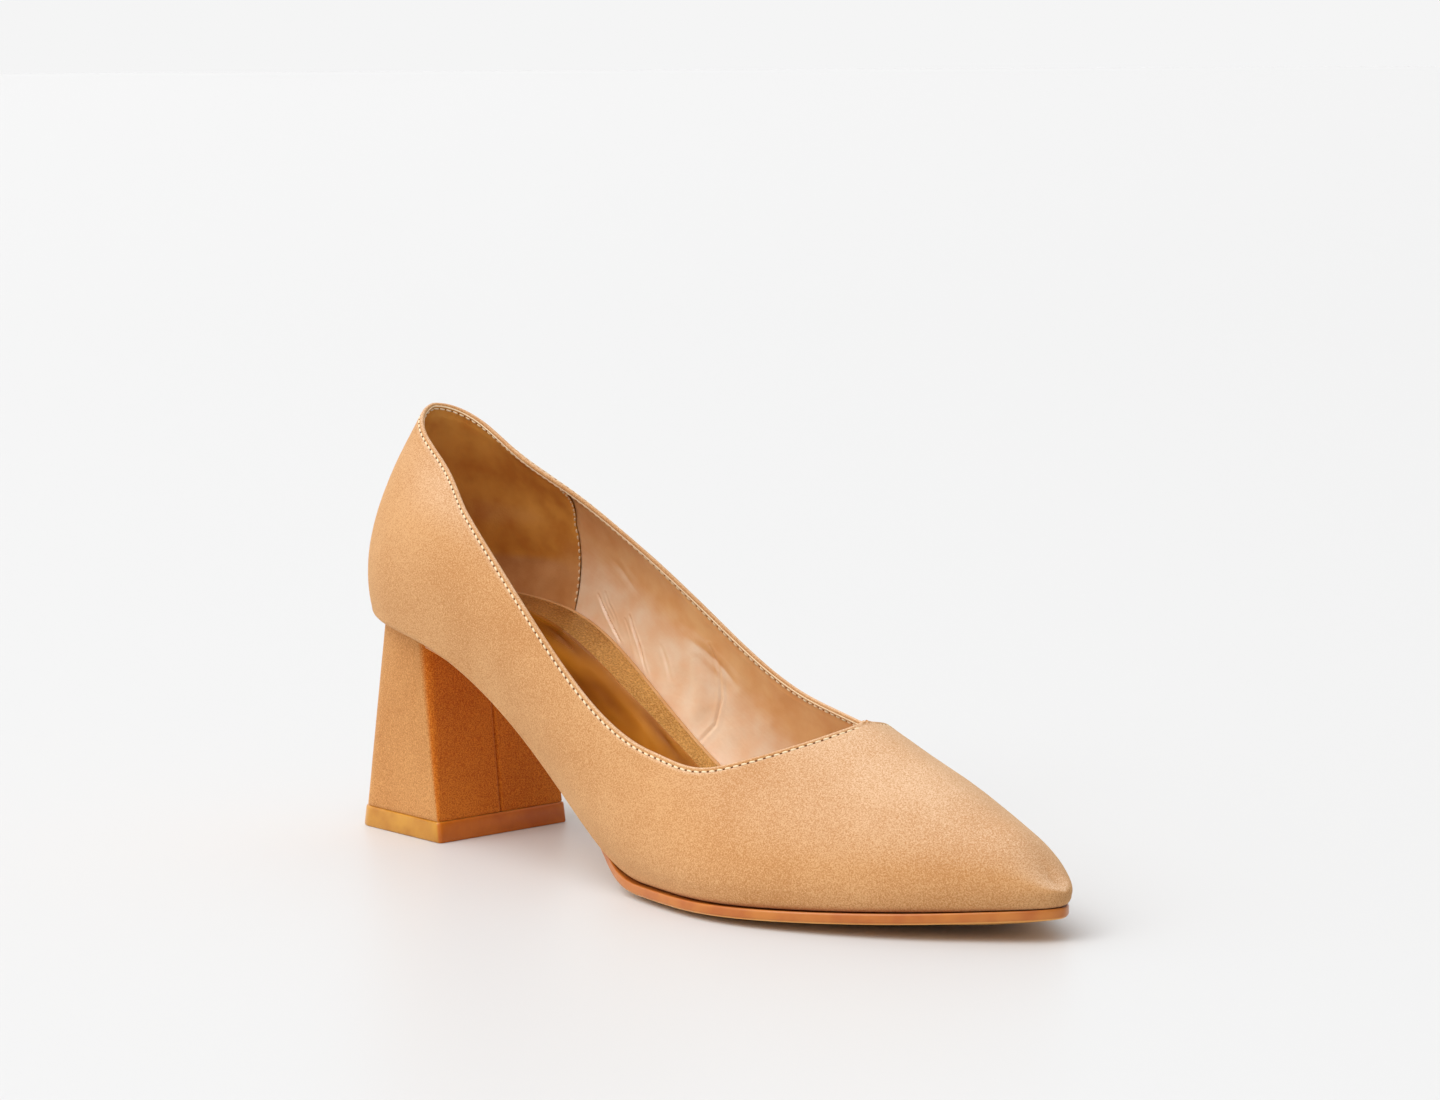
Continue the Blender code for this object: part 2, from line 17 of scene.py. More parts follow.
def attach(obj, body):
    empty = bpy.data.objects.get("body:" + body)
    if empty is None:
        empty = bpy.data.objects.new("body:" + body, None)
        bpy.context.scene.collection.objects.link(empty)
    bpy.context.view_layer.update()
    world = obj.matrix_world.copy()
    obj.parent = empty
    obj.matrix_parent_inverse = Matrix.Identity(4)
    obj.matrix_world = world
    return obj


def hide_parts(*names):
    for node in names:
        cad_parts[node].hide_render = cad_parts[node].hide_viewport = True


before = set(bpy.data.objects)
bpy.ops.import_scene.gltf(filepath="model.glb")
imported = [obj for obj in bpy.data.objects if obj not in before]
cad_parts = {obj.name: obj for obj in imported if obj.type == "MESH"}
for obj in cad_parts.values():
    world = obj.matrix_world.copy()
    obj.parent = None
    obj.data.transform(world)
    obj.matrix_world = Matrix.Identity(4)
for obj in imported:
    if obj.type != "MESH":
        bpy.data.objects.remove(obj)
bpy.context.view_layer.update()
print("nodes:", sorted(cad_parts))

# %% [markdown]
# ## The camera first
# The photograph was taken with a long lens from a little above the floor, in front of the outer
# side. A camera can be placed by eye, but then every later comparison is off by a little. Here its
# azimuth, elevation and distance were fitted to edges measured in the photograph, so that the shoe
# can be set against it edge by edge.

# %% Camera
MM = 0.001
AZIMUTH = math.radians(47.4)
ELEVATION = math.radians(7.1)
ROLL = math.radians(-0.3)
SENSOR_WIDTH = 36            # in mm, as the lens and the three shifts below
FOCAL_LENGTH = 100.65
SHIFT_RIGHT = 87.3
SHIFT_UP = 73.1
DISTANCE = 1124.9
HEEL_MIDDLE = 23.1 * MM      # from the heel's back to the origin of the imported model


def view_axes():
    """Right, up and back directions of the camera."""
    back = Vector((math.sin(AZIMUTH) * math.cos(ELEVATION),
                   -math.cos(AZIMUTH) * math.cos(ELEVATION),
                   math.sin(ELEVATION)))
    level = Vector((math.cos(AZIMUTH), math.sin(AZIMUTH), 0))
    rise = back.cross(level)
    right = level * math.cos(ROLL) + rise * math.sin(ROLL)
    up = rise * math.cos(ROLL) - level * math.sin(ROLL)
    return right, up, back


def add_camera():
    right, up, back = view_axes()
    lens = bpy.data.cameras.new("camera")
    lens.sensor_fit = "HORIZONTAL"
    lens.sensor_width = SENSOR_WIDTH
    lens.lens = FOCAL_LENGTH
    lens.clip_start = 0.01
    lens.clip_end = 100
    camera = bpy.data.objects.new("camera", lens)
    bpy.context.scene.collection.objects.link(camera)
    placed = Matrix((right, up, back)).transposed().to_4x4()
    from_heel = (right * SHIFT_RIGHT + up * SHIFT_UP + back * DISTANCE) * MM
    placed.translation = from_heel - Vector((HEEL_MIDDLE, 0, 0))
    camera.matrix_world = placed
    bpy.context.scene.camera = camera
    return camera


camera = add_camera()
print("camera at", [round(c, 3) for c in camera.matrix_world.translation])

# %% [markdown]
# ## The last
# A last is the wooden or plastic foot that a shoe is built on. It could be sculpted, but a sculpted
# form can't be drawn again at another fineness. Here it is a few named sizes and short tables, the
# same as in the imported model: an outline of the sole, an arch, and cross sections that run from the
# feather line, where the upper turns under the foot, up to the ridge of the foot.

# %% Sizes of the last
LENGTH = 240 * MM
BALL_WIDTH = 78 * MM
SEAT_RISE = 55.5 * MM
UPPER_DEPTH = 50 * MM
COUNTER_HEIGHT = 60 * MM
THROAT_X = 178 * MM
THROAT_RADIUS = 19 * MM
TOPLINE_BLEND = 4 * MM
LATERAL_DROP = 7 * MM
TOE_SWING = 9 * MM
TOE_SPRING = 4.3 * MM
TILT_REACH = 20 * MM
WALL = 1.7 * MM
EDGE_RADIUS = 2.2 * MM
MARGIN = 10 * MM
SOLE_EDGE = 2.5 * MM
SOLE_CROWN = 1.4 * MM
INSOLE = 2.6 * MM
GAP = 0.3 * MM
TREAD_BACK = 0.56
TREAD_FRONT = 0.63
SWING_START = 0.35
SWING_POWER = 1.6
SPRING_POWER = 1.5
MARGIN_START = 0.12
MARGIN_END = 0.93
MARGIN_LIMIT = 0.55          # where the foot is narrow, the margin stops short of its middle
TOE_START = 0.88

# Plan outline of the feather line: share of the length, share of half the ball width
OUTLINE = [
    (0.000, 0.000),
    (0.012, 0.270),
    (0.042, 0.490),
    (0.090, 0.635),
    (0.150, 0.700),
    (0.240, 0.695),
    (0.340, 0.662),
    (0.440, 0.710),
    (0.530, 0.825),
    (0.610, 0.945),
    (0.685, 1.000),
    (0.760, 0.922),
    (0.830, 0.762),
    (0.900, 0.535),
    (0.950, 0.335),
    (0.985, 0.165),
    (1.000, 0.000),
]

# Arch: share of the length, share of the seat's rise
ARCH = [
    (0.00, 1.000),
    (0.10, 0.950),
    (0.20, 0.862),
    (0.30, 0.630),
    (0.40, 0.313),
    (0.48, 0.088),
    (0.56, 0.000),
]

# Sections: belt share, ridge place, ridge height, lean, straight rise, shoulder
SECTIONS = [
    (0.00, 0.119, 1.26, 0.12, 0.48, 0.13),
    (0.10, 0.146, 1.06, 0.13, 0.58, 0.20),
    (0.20, 0.219, 0.88, 0.13, 0.59, 0.38),
    (0.30, 0.323, 0.87, 0.18, 0.57, 0.46),
    (0.40, 0.440, 1.01, 0.24, 0.53, 0.55),
    (0.50, 0.565, 1.09, 0.25, 0.42, 0.56),
    (0.60, 0.680, 0.96, 0.18, 0.27, 0.46),
    (0.70, 0.777, 0.76, 0.09, 0.21, 0.33),
    (0.80, 0.855, 0.585, 0.05, 0.18, 0.24),
    (0.90, 0.923, 0.395, 0.04, 0.15, 0.16),
    (0.95, 0.957, 0.285, 0.03, 0.12, 0.10),
    (1.00, 0.980, 0.15, 0.02, 0.07, 0.07),
]

# Topline from the side: share of the length, share of the counter's height
TOPLINE = [
    (0.02, 1.020),
    (0.10, 0.885),
    (0.20, 0.750),
    (0.30, 0.689),
    (0.40, 0.680),
    (0.50, 0.662),
    (0.60, 0.584),
    (0.70, 0.506),
    (0.80, 0.520),
]
print("rows in the tables:", len(OUTLINE), len(ARCH), len(SECTIONS), len(TOPLINE))

# %% [markdown]
# A shoe has no straight lines, so each table is read through a smooth curve. Straight lines between
# the rows would show as facets, and Bezier handles would have to be set one by one. A cubic spline
# passes through every row and bends as little as it can between them, as a thin batten would.


# %% Smooth curves through tables
class Curve:
    """Natural cubic spline through rows of (parameter, value, value, ...)."""

    def __init__(self, rows):
        self.rows = rows
        self.knots = [row[0] for row in rows]
        self.bends = [self._bends(column) for column in range(1, len(rows[0]))]

    def _bends(self, column):
        knots = self.knots
        values = [row[column] for row in self.rows]
        upper = [0.0]
        right = [0.0]
        for i in range(1, len(knots) - 1):
            before = knots[i] - knots[i - 1]
            after = knots[i + 1] - knots[i]
            jump = (values[i + 1] - values[i]) / after - (values[i] - values[i - 1]) / before
            pivot = 2 * (before + after) - before * upper[-1]
            upper.append(after / pivot)
            right.append((6 * jump - before * right[-1]) / pivot)
        bends = [0.0] * len(knots)
        for i in range(len(knots) - 2, 0, -1):
            bends[i] = right[i] - upper[i] * bends[i + 1]
        return bends

    def at(self, parameter):
        i = 0
        while i < len(self.knots) - 2 and parameter > self.knots[i + 1]:
            i += 1
        step = self.knots[i + 1] - self.knots[i]
        b = (parameter - self.knots[i]) / step
        a = 1 - b
        result = []
        for column, bends in enumerate(self.bends, start=1):
            line = a * self.rows[i][column] + b * self.rows[i + 1][column]
            curl = (a ** 3 - a) * bends[i] + (b ** 3 - b) * bends[i + 1]
            result.append(line + curl * step * step / 6)
        return result


def mirrored(rows, odd_columns, start=True, end=True):
    """The rows with their mirror images past the ends, so that the curve meets them squarely."""
    signs = [-1 if column in odd_columns else 1 for column in range(1, len(rows[0]))]

    def image(row, centre):
        return (2 * centre - row[0],) + tuple(s * value for s, value in zip(signs, row[1:]))

    head = [image(row, rows[0][0]) for row in reversed(rows[1:4])] if start else []
    tail = [image(row, rows[-1][0]) for row in reversed(rows[-4:-1])] if end else []
    return head + rows + tail


def belt_rows():
    points = [(x * LENGTH, w * BALL_WIDTH / 2) for x, w in OUTLINE]
    lengths = [0.0]
    for (x0, w0), (x1, w1) in zip(points, points[1:]):
        lengths.append(lengths[-1] + math.hypot(x1 - x0, w1 - w0))
    return [(length / lengths[-1], x, w) for length, (x, w) in zip(lengths, points)]


OUTLINE_CURVE = Curve(mirrored(belt_rows(), odd_columns=[2]))
SECTION_CURVE = Curve(mirrored(SECTIONS, odd_columns=[]))
ARCH_CURVE = Curve(mirrored(ARCH, odd_columns=[], start=False))
TOPLINE_CURVE = Curve(TOPLINE)
print("half width at a quarter of the belt:", round(OUTLINE_CURVE.at(0.25)[1] / MM, 1), "mm")

# %% [markdown]
# Seen from above, a foot's middle line swings to the inner side at the toe. Seen from the side, its
# underside follows the seat, the arch, the flat tread and the toe spring. Each could be a curve
# object, but as functions of the distance from the heel they can be asked anywhere. The "belt" runs
# round the foot from the heel's back, at 0, to the toe's tip, at 1, once along each side.


# %% The last's outline and underside
def blend_step(share):
    share = min(max(share, 0.0), 1.0)
    return share * share * (3 - 2 * share)


def centre_line(x):
    share = (x / LENGTH - SWING_START) / (1 - SWING_START)
    return TOE_SWING * max(share, 0.0) ** SWING_POWER


def underside(x):
    share = x / LENGTH
    tread = SOLE_EDGE + SOLE_CROWN + GAP
    if share < TREAD_BACK:
        return tread + SEAT_RISE * ARCH_CURVE.at(max(share, 0.0))[0]
    lift = max(share - TREAD_FRONT, 0.0) / (1 - TREAD_FRONT)
    return tread + TOE_SPRING * lift ** SPRING_POWER


def layer(x, height):
    """Height of a layer that lies that far above the underside, measured square to it."""
    reach = 0.5 * MM
    slope = (underside(x + reach) - underside(x - reach)) / (2 * reach)
    return underside(x) + height * math.sqrt(1 + slope * slope)


def outline(belt, offset=0.0):
    """Plan point (x, half width) of the outline, moved outwards by the offset."""
    x, half = OUTLINE_CURVE.at(belt)
    if offset == 0.0:
        return x, half
    step = 0.002
    x0, half0 = OUTLINE_CURVE.at(belt - step)
    x1, half1 = OUTLINE_CURVE.at(belt + step)
    run = math.hypot(x1 - x0, half1 - half0)
    return x - offset * (half1 - half0) / run, half + offset * (x1 - x0) / run


def crossing(test, low, high):
    """Where the test turns from true to false between low and high."""
    for _ in range(28):
        middle = (low + high) / 2
        if test(middle):
            low = middle
        else:
            high = middle
    return low


def belt_at(x):
    """Belt share at which the outline passes x."""
    return crossing(lambda belt: outline(belt)[0] < x, 0.0, 1.0)


def place(x, half, side, z):
    """Point of the foot: side is -1 on the outer and 1 on the inner side."""
    return Vector((x, centre_line(x) + side * half, z))


print("seat over the floor:", round(underside(0.1 * LENGTH) / MM, 1), "mm")

# %% [markdown]
# Each section is one cubic curve: it leaves the feather line, leans out a little, rises, and rounds
# over a shoulder to the ridge. The opening could be cut with a boolean, which leaves ragged faces at
# the very edge that shows most. It is cut by two rules that are blended together: stay below the
# topline's profile, and stay in front of the throat's arc. The surface ends a little short of the
# edge, because the suede's round fold is added on top of it.


# %% Sections and the opening
EDGE_WALL = 1.15 * MM         # the folded edge is skived thinner than the wall below it
FOLD_RADIUS = EDGE_WALL / 2


def ridge(belt):
    x_share, depth_share = SECTION_CURVE.at(belt)[:2]
    return x_share * LENGTH, underside(outline(belt)[0]) + depth_share * UPPER_DEPTH


def ridge_slope(belt):
    step = 0.004
    before = ridge(min(max(belt - step, 0.0), 1 - 2 * step))
    after = ridge(min(max(belt + step, 2 * step), 1.0))
    return (after[1] - before[1]) / (after[0] - before[0])


def section(belt, side):
    """Four control points from the feather line up to the ridge."""
    lean, rise, shoulder = [share * UPPER_DEPTH for share in SECTION_CURVE.at(belt)[2:]]
    x, half = outline(belt)
    foot = place(x, half, side, underside(x) + EDGE_RADIUS)
    lean_x, lean_half = outline(belt, lean)
    low = place(lean_x, lean_half, side, foot.z + rise)
    top_x, top_z = ridge(belt)
    top = Vector((top_x, centre_line(top_x), top_z))
    out = Vector((foot.x - top.x, foot.y - top.y)).normalized()
    high = top + shoulder * Vector((out.x, out.y, out.x * ridge_slope(belt)))
    return foot, low, high, top


def on_section(controls, share):
    foot, low, high, top = controls
    back = 1 - share
    return back ** 3 * foot + 3 * share * back ** 2 * low + 3 * share ** 2 * back * high + share ** 3 * top


def opening(point):
    """Positive inside the opening."""
    x, y, z = point
    half = y - centre_line(x)
    tilt = LATERAL_DROP / 2 * max(-1.0, min(1.0, half / TILT_REACH))
    above = z - (underside(x) + TOPLINE_CURVE.at(x / LENGTH)[0] * COUNTER_HEIGHT + tilt)
    behind = THROAT_X - half * half / (2 * THROAT_RADIUS) - x
    low = min(above, behind)
    mix = math.exp((low - above) / TOPLINE_BLEND) + math.exp((low - behind) / TOPLINE_BLEND)
    return low - TOPLINE_BLEND * math.log(mix) + FOLD_RADIUS


def topline_share(controls):
    """Where a section leaves the upper."""
    steps = 30
    for i in range(1, steps + 1):
        if opening(on_section(controls, i / steps)) > 0:
            return crossing(lambda share: opening(on_section(controls, share)) <= 0,
                            (i - 1) / steps, i / steps)
    return 1.0


THROAT = crossing(lambda belt: opening(section(belt, 1)[3]) > 0, 0.4, 0.9)
THROAT_FAN = 0.09
print("throat at belt share", round(THROAT, 3), "x", round(section(THROAT, 1)[3].x / MM, 1), "mm")

# %% [markdown]
# ## A fine grid over the upper
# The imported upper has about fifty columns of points. The stitched edge needs points every third of a
# millimetre, so the grid here is drawn again: columns crowd together at the throat, and the rows of
# each column crowd together near the topline. Columns run from the feather line to the topline, fan
# out round the throat, and end on the ridge in front of it.

# %% Columns
BACK_COLUMNS = 132
ARC_COLUMNS = 26
RIDGE_STEPS = [0.45 * MM * i for i in range(1, 14)] + [(7.2 + 1.55 * i) * MM for i in range(60)]


def runs_along(points):
    """Distance of each point from the first, measured along the line."""
    runs = [0.0]
    for a, b in zip(points, points[1:]):
        runs.append(runs[-1] + (b - a).length)
    return runs


def evened(start, end, shares, point, fine=260):
    """Belt shares at the given shares of the length of a line of points."""
    belts = [start + (end - start) * i / fine for i in range(fine + 1)]
    runs = runs_along([point(belt) for belt in belts])
    picked = []
    j = 0
    for share in shares:
        while j < fine - 1 and runs[j + 1] < runs[-1] * share:
            j += 1
        part = (runs[-1] * share - runs[j]) / (runs[j + 1] - runs[j])
        picked.append(belts[j] + (belts[j + 1] - belts[j]) * min(part, 1.0))
    return picked, runs[-1]


def topline_point(side):
    def point(belt):
        controls = section(belt, side)
        return on_section(controls, topline_share(controls))
    return point


def columns_of(side):
    """Per column: belt share at the foot, belt share at the top, section share at the top."""
    even = [i / BACK_COLUMNS for i in range(BACK_COLUMNS + 1)]
    feet, _ = evened(0.0, THROAT, even, lambda belt: section(belt, side)[0])
    tops, _ = evened(0.0, THROAT, even, topline_point(side))
    columns = [(foot, top, topline_share(section(top, side))) for foot, top in zip(feet, tops)]
    arc_start = columns[-1][2]
    for i in range(1, ARC_COLUMNS + 1):
        along = i / ARC_COLUMNS
        share = arc_start + (1 - arc_start) * along
        top = crossing(lambda belt: opening(on_section(section(belt, side), share)) > 0,
                       THROAT, THROAT + THROAT_FAN) if i < ARC_COLUMNS else THROAT
        columns.append((THROAT + THROAT_FAN * along, top, share))
    _, ridge_length = evened(THROAT, 1.0, [1.0], lambda belt: section(belt, side)[3])
    shares = [step / ridge_length for step in RIDGE_STEPS if step < ridge_length - 1.0 * MM] + [1.0]
    feet, _ = evened(THROAT + THROAT_FAN, 1.0, shares, lambda belt: section(belt, side)[0])
    tops, _ = evened(THROAT, 1.0, shares, lambda belt: section(belt, side)[3])
    return columns + [(foot, top, 1.0) for foot, top in zip(feet, tops)]


COLUMNS = {side: columns_of(side) for side in (-1, 1)}
print("columns on each side:", len(COLUMNS[-1]))

# %% [markdown]
# Stitches and fold lie within a few millimetres of the topline. Subdividing the whole wall that
# finely would give millions of faces. So a column is first walked in small steps, and then cut again
# at chosen distances from its top: very close together where the edge is folded and stitched, and
# wider apart below. Under the foot, the lasted margin is added: the strip that is pulled round the
# feather line and cemented to the insole.

# %% Rows
ROW_STEP = 0.3 * MM
TOP_ROWS = [ROW_STEP * i for i in range(12)]
LOW_ROWS = 26
TURN_ANGLES = [90, 72, 54, 36, 18]
MARGIN_SHARES = [1.0, 0.8, 0.6, 0.4, 0.25, 0.12]


def column_line(side, column, steps=44):
    foot, top, top_share = column
    line = []
    for i in range(steps + 1):
        share = i / steps
        line.append(on_section(section(foot + (top - foot) * share, side), top_share * share))
    return line


def points_from_top(line, distances):
    """Points on a line, at those distances from its last point."""
    back = line[::-1]
    runs = runs_along(back)
    found = []
    for distance in distances:
        j = 0
        while j < len(runs) - 2 and runs[j + 1] < distance:
            j += 1
        part = (distance - runs[j]) / (runs[j + 1] - runs[j])
        found.append(back[j].lerp(back[j + 1], min(part, 1.0)))
    return found, runs[-1]


def wall_points(side, column):
    """A column's points from the feather line up to where the fold starts."""
    line = column_line(side, column)
    _, height = points_from_top(line, [0.0])
    steps = 2 * len(TOP_ROWS)       # on a short column the close rows take up half of it
    top_rows = [min(row, height * i / steps) for i, row in enumerate(TOP_ROWS)]
    start = top_rows[-1]
    low_rows = [start + (height - start) * (i / LOW_ROWS) for i in range(1, LOW_ROWS + 1)]
    found, _ = points_from_top(line, top_rows + low_rows)
    return found[::-1]


def under_points(side, belt):
    """The lasted margin under the foot and the round turn up to the feather line."""
    x, half = outline(belt)
    centre_x = min(max(x, MARGIN_START * LENGTH), MARGIN_END * LENGTH)
    run = math.hypot(centre_x - x, half)
    aim_x, aim_half = (centre_x - x) / run, -half / run
    width = min(MARGIN, MARGIN_LIMIT * run)
    points = []
    for share in MARGIN_SHARES:
        reach = EDGE_RADIUS + share * (width - EDGE_RADIUS)
        px = x + aim_x * reach
        points.append(place(px, half + aim_half * reach, side, underside(px)))
    for angle in TURN_ANGLES:
        reach = EDGE_RADIUS * (1 - math.cos(math.radians(angle)))
        drop = EDGE_RADIUS * (1 - math.sin(math.radians(angle)))
        px = x + aim_x * reach
        points.append(place(px, half + aim_half * reach, side, underside(px) + drop))
    return points


UNDER_COUNT = len(TURN_ANGLES) + len(MARGIN_SHARES)
WALL_COUNT = len(TOP_ROWS) + LOW_ROWS
GRID = {side: [under_points(side, column[0]) + wall_points(side, column) for column in COLUMNS[side]]
        for side in (-1, 1)}
print("points in the upper's grid:", 2 * len(GRID[1]) * len(GRID[1][0]))

# %% [markdown]
# A shoe's wall is a sandwich: suede, stitches and linings all follow one surface at different
# depths. Blender could give normals from a mesh, but they would change with each piece's faces. So
# the grid's outward direction at each point is worked out once, from its neighbours.


# %% Outward directions
RIM_COLUMNS = BACK_COLUMNS + ARC_COLUMNS
LAST_COLUMN = len(COLUMNS[1]) - 1
LAST_ROW = UNDER_COUNT + WALL_COUNT - 1


def neighbour(side, i, j):
    """Past the first or last column lies the other side's grid; past the ridge does too."""
    if j > LAST_ROW:
        return GRID[-side][i][LAST_ROW - 1] if i >= RIM_COLUMNS else GRID[side][i][LAST_ROW]
    if i < 0:
        return GRID[-side][-i][j]
    if i > LAST_COLUMN:
        return GRID[-side][2 * LAST_COLUMN - i][j]
    return GRID[side][i][j]


def outward(side, i, j):
    along = neighbour(side, i + 1, j) - neighbour(side, i - 1, j)
    up = neighbour(side, i, j + 1) - neighbour(side, i, max(j - 1, 0))
    return (along.cross(up) * -side).normalized()


NORMALS = {side: [[outward(side, i, j) for j in range(LAST_ROW + 1)] for i in range(LAST_COLUMN + 1)]
           for side in (-1, 1)}
print("an outward direction on the outer side:", [round(c, 2) for c in NORMALS[-1][60][30]])

# %% [markdown]
# The topline is a closed loop: up one side from the heel's back to the throat and down the other.
# An array along a curve could carry the stitches, but it doesn't know which way the leather faces.
# A track knows its own length and its outward directions, so that stitches can be set out at an even
# pitch and lie flat, as a sewing machine lays them.


# %% Tracks
class Track:
    """A line of points with outward directions, measured along its length."""

    def __init__(self, points, normals):
        self.points = points
        self.normals = normals
        self.runs = runs_along(points)
        self.length = self.runs[-1]
        self.last = 0

    def at(self, distance):
        """Point, direction and outward direction at a distance along the track."""
        distance = min(max(distance, 0.0), self.length)
        if distance < self.runs[self.last]:
            self.last = 0
        while self.last < len(self.runs) - 2 and self.runs[self.last + 1] < distance:
            self.last += 1
        j = self.last
        part = (distance - self.runs[j]) / max(self.runs[j + 1] - self.runs[j], 1e-9)
        point = self.points[j].lerp(self.points[j + 1], part)
        normal = self.normals[j].lerp(self.normals[j + 1], part).normalized()
        before = self.points[max(j - 1, 0)]
        after = self.points[min(j + 2, len(self.points) - 1)]
        return point, (after - before).normalized(), normal


def rim_of(side, i):
    return GRID[side][i][LAST_ROW], NORMALS[side][i][LAST_ROW]


RIM = [rim_of(-1, i) for i in range(RIM_COLUMNS)] + [rim_of(1, i) for i in range(RIM_COLUMNS, -1, -1)]
TOPLINE_TRACK = Track([point for point, _ in RIM], [normal for _, normal in RIM])


def beside(distance, down, out):
    """A point by the topline: that far down the wall from it and that far out of the surface."""
    point, along, normal = TOPLINE_TRACK.at(distance)
    return point + along.cross(normal).normalized() * down + normal * out, along, normal


print("topline length:", round(TOPLINE_TRACK.length / MM), "mm")

# %% [markdown]
# ## Mesh helpers
# Every piece is made from grids of points, because grids give even quads that follow the form and
# shade cleanly. A grid is turned into quads, points that coincide are welded, and the result is moved
# from the last's frame, which starts at the heel's back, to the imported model's frame, which starts
# under the heel's middle.


# %% Mesh helpers
ORIGIN = Vector((HEEL_MIDDLE, 0, 0))
WELD = 0.002 * MM            # points closer than this become one
SHARP = 50                   # degrees between two faces that keep a crisp edge


def mesh_piece(name, grids, material, loose=(), closed=False):
    """One piece from grids of points, each a list of columns, with a flag that turns its faces."""
    work = bmesh.new()
    for grid, turned in grids:
        made = [[work.verts.new(point - ORIGIN) for point in column] for column in grid]
        for left, right in zip(made, made[1:]):
            for k in range(len(left) - 1):
                corners = (left[k], right[k], right[k + 1], left[k + 1])
                work.faces.new(corners[::-1] if turned else corners)
    for points, faces in loose:
        made = [work.verts.new(point - ORIGIN) for point in points]
        for face in faces:
            work.faces.new([made[k] for k in face])
    bmesh.ops.remove_doubles(work, verts=work.verts, dist=WELD)
    if closed:
        bmesh.ops.recalc_face_normals(work, faces=work.faces)
    mesh = bpy.data.meshes.new(name)
    work.to_mesh(mesh)
    work.free()
    for polygon in mesh.polygons:
        polygon.use_smooth = True
    mesh.set_sharp_from_angle(angle=math.radians(SHARP))
    mesh.materials.append(material)
    piece = bpy.data.objects.new(name, mesh)
    bpy.context.scene.collection.objects.link(piece)
    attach(piece, "root")
    print(name, "has", len(mesh.polygons), "faces")
    return piece


print("the model's origin lies", round(ORIGIN.x / MM, 1), "mm in front of the heel's back")

# %% [markdown]
# ## Materials
# Colours are written as sRGB hex values, as a colour picker shows them, and one function turns them
# into the linear values that Blender computes with. Typing linear values by hand would work too, but
# nobody can read them. Patterns are sized in millimetres: a noise with 0.5 mm features is scaled by
# one over 0.5 mm. They are made by nodes in place of pictures, so they stay sharp close up.


# %% Material helpers
def linear(hex_colour):
    """sRGB hex to linear RGBA."""
    channels = [int(hex_colour[i:i + 2], 16) / 255 for i in (1, 3, 5)]
    return tuple(c / 12.92 if c <= 0.04045 else ((c + 0.055) / 1.055) ** 2.4 for c in channels) + (1.0,)


def add_node(tree, kind, values=None, **settings):
    """A node with its settings; a value that is another node's socket is linked."""
    made = tree.nodes.new(kind)
    for name, value in settings.items():
        setattr(made, name, value)
    for socket, value in (values or {}).items():
        if isinstance(value, bpy.types.NodeSocket):
            tree.links.new(value, made.inputs[socket])
        else:
            made.inputs[socket].default_value = value
    return made


MIX_A, MIX_B, MIX_RESULT = 6, 7, 2      # the colour sockets of a Mix node


def new_material(name):
    """An empty material with a Principled shader and metre coordinates."""
    material = bpy.data.materials.new(name)
    material.use_nodes = True
    tree = material.node_tree
    shader = tree.nodes["Principled BSDF"]
    place_node = add_node(tree, "ShaderNodeTexCoord")
    return material, tree, shader, place_node.outputs["Object"]


def per_mm(size):
    """Scale of a pattern whose features are that many millimetres wide."""
    return 1 / (size * MM)


def roughen(tree, shader, height, strength, depth):
    """A bump of that many millimetres on the shader."""
    bump = add_node(tree, "ShaderNodeBump",
                    {"Height": height, "Strength": strength, "Distance": depth * MM})
    tree.links.new(bump.outputs["Normal"], shader.inputs["Normal"])


def set_shader(shader, values):
    """Plain values, set on the shader's own sockets."""
    for socket, value in values.items():
        shader.inputs[socket].default_value = value


print("a middle tan in linear values:", [round(c, 3) for c in linear("#c9965f")[:3]])

# %% [markdown]
# Several of these surfaces get painted light and shade by the way they face. Faces that turn up
# towards the light are painted paler than steep walls, and the heel's breast is painted in a warm
# shade. This could be painted by hand, but the surface's own direction already says where each shade
# goes, from any side. One helper reads a pattern through two pairs of colours and mixes them by that
# direction.

# %% Painted light and shade by direction
def ramp_of(tree, pattern, colours, spread):
    """Two colours laid over a pattern; a small spread makes their border crisp."""
    ramp = add_node(tree, "ShaderNodeValToRGB", {"Fac": pattern})
    for element, side, colour in zip(ramp.color_ramp.elements, (-1, 1), colours):
        element.position = 0.5 + side * spread
        element.color = linear(colour)
    return ramp.outputs["Color"]


def painted_light_by_direction(tree, pattern, plain, turned, axis, limits, spread):
    """Painted light and shade: plain pair, and the turned pair where the surface faces along the axis."""
    facing = add_node(tree, "ShaderNodeNewGeometry")
    parts = add_node(tree, "ShaderNodeSeparateXYZ", {"Vector": facing.outputs["Normal"]})
    share = add_node(tree, "ShaderNodeMapRange",
                     {"Value": parts.outputs[axis], "From Min": limits[0], "From Max": limits[1]},
                     interpolation_type="SMOOTHSTEP")
    mixed = add_node(tree, "ShaderNodeMix",
                     {"Factor": share.outputs["Result"],
                      MIX_A: ramp_of(tree, pattern, plain, spread),
                      MIX_B: ramp_of(tree, pattern, turned, spread)}, data_type="RGBA")
    return mixed.outputs[MIX_RESULT]


print("colour sockets of a Mix node:", MIX_A, MIX_B, "result:", MIX_RESULT)

# %% [markdown]
# Faux suede is a non-woven microfibre cloth, sanded until its surface is a short dense nap. The nap
# scatters light at grazing angles, which is what the shader's sheen is for, and it lies in slightly
# different directions from place to place, so its colour drifts softly. Real hairs would need
# millions of strands. A fine noise in colour and bump reads the same from a step away. The finest
# grain is far below a pixel, and is drawn at about a third of a millimetre so that it shows.

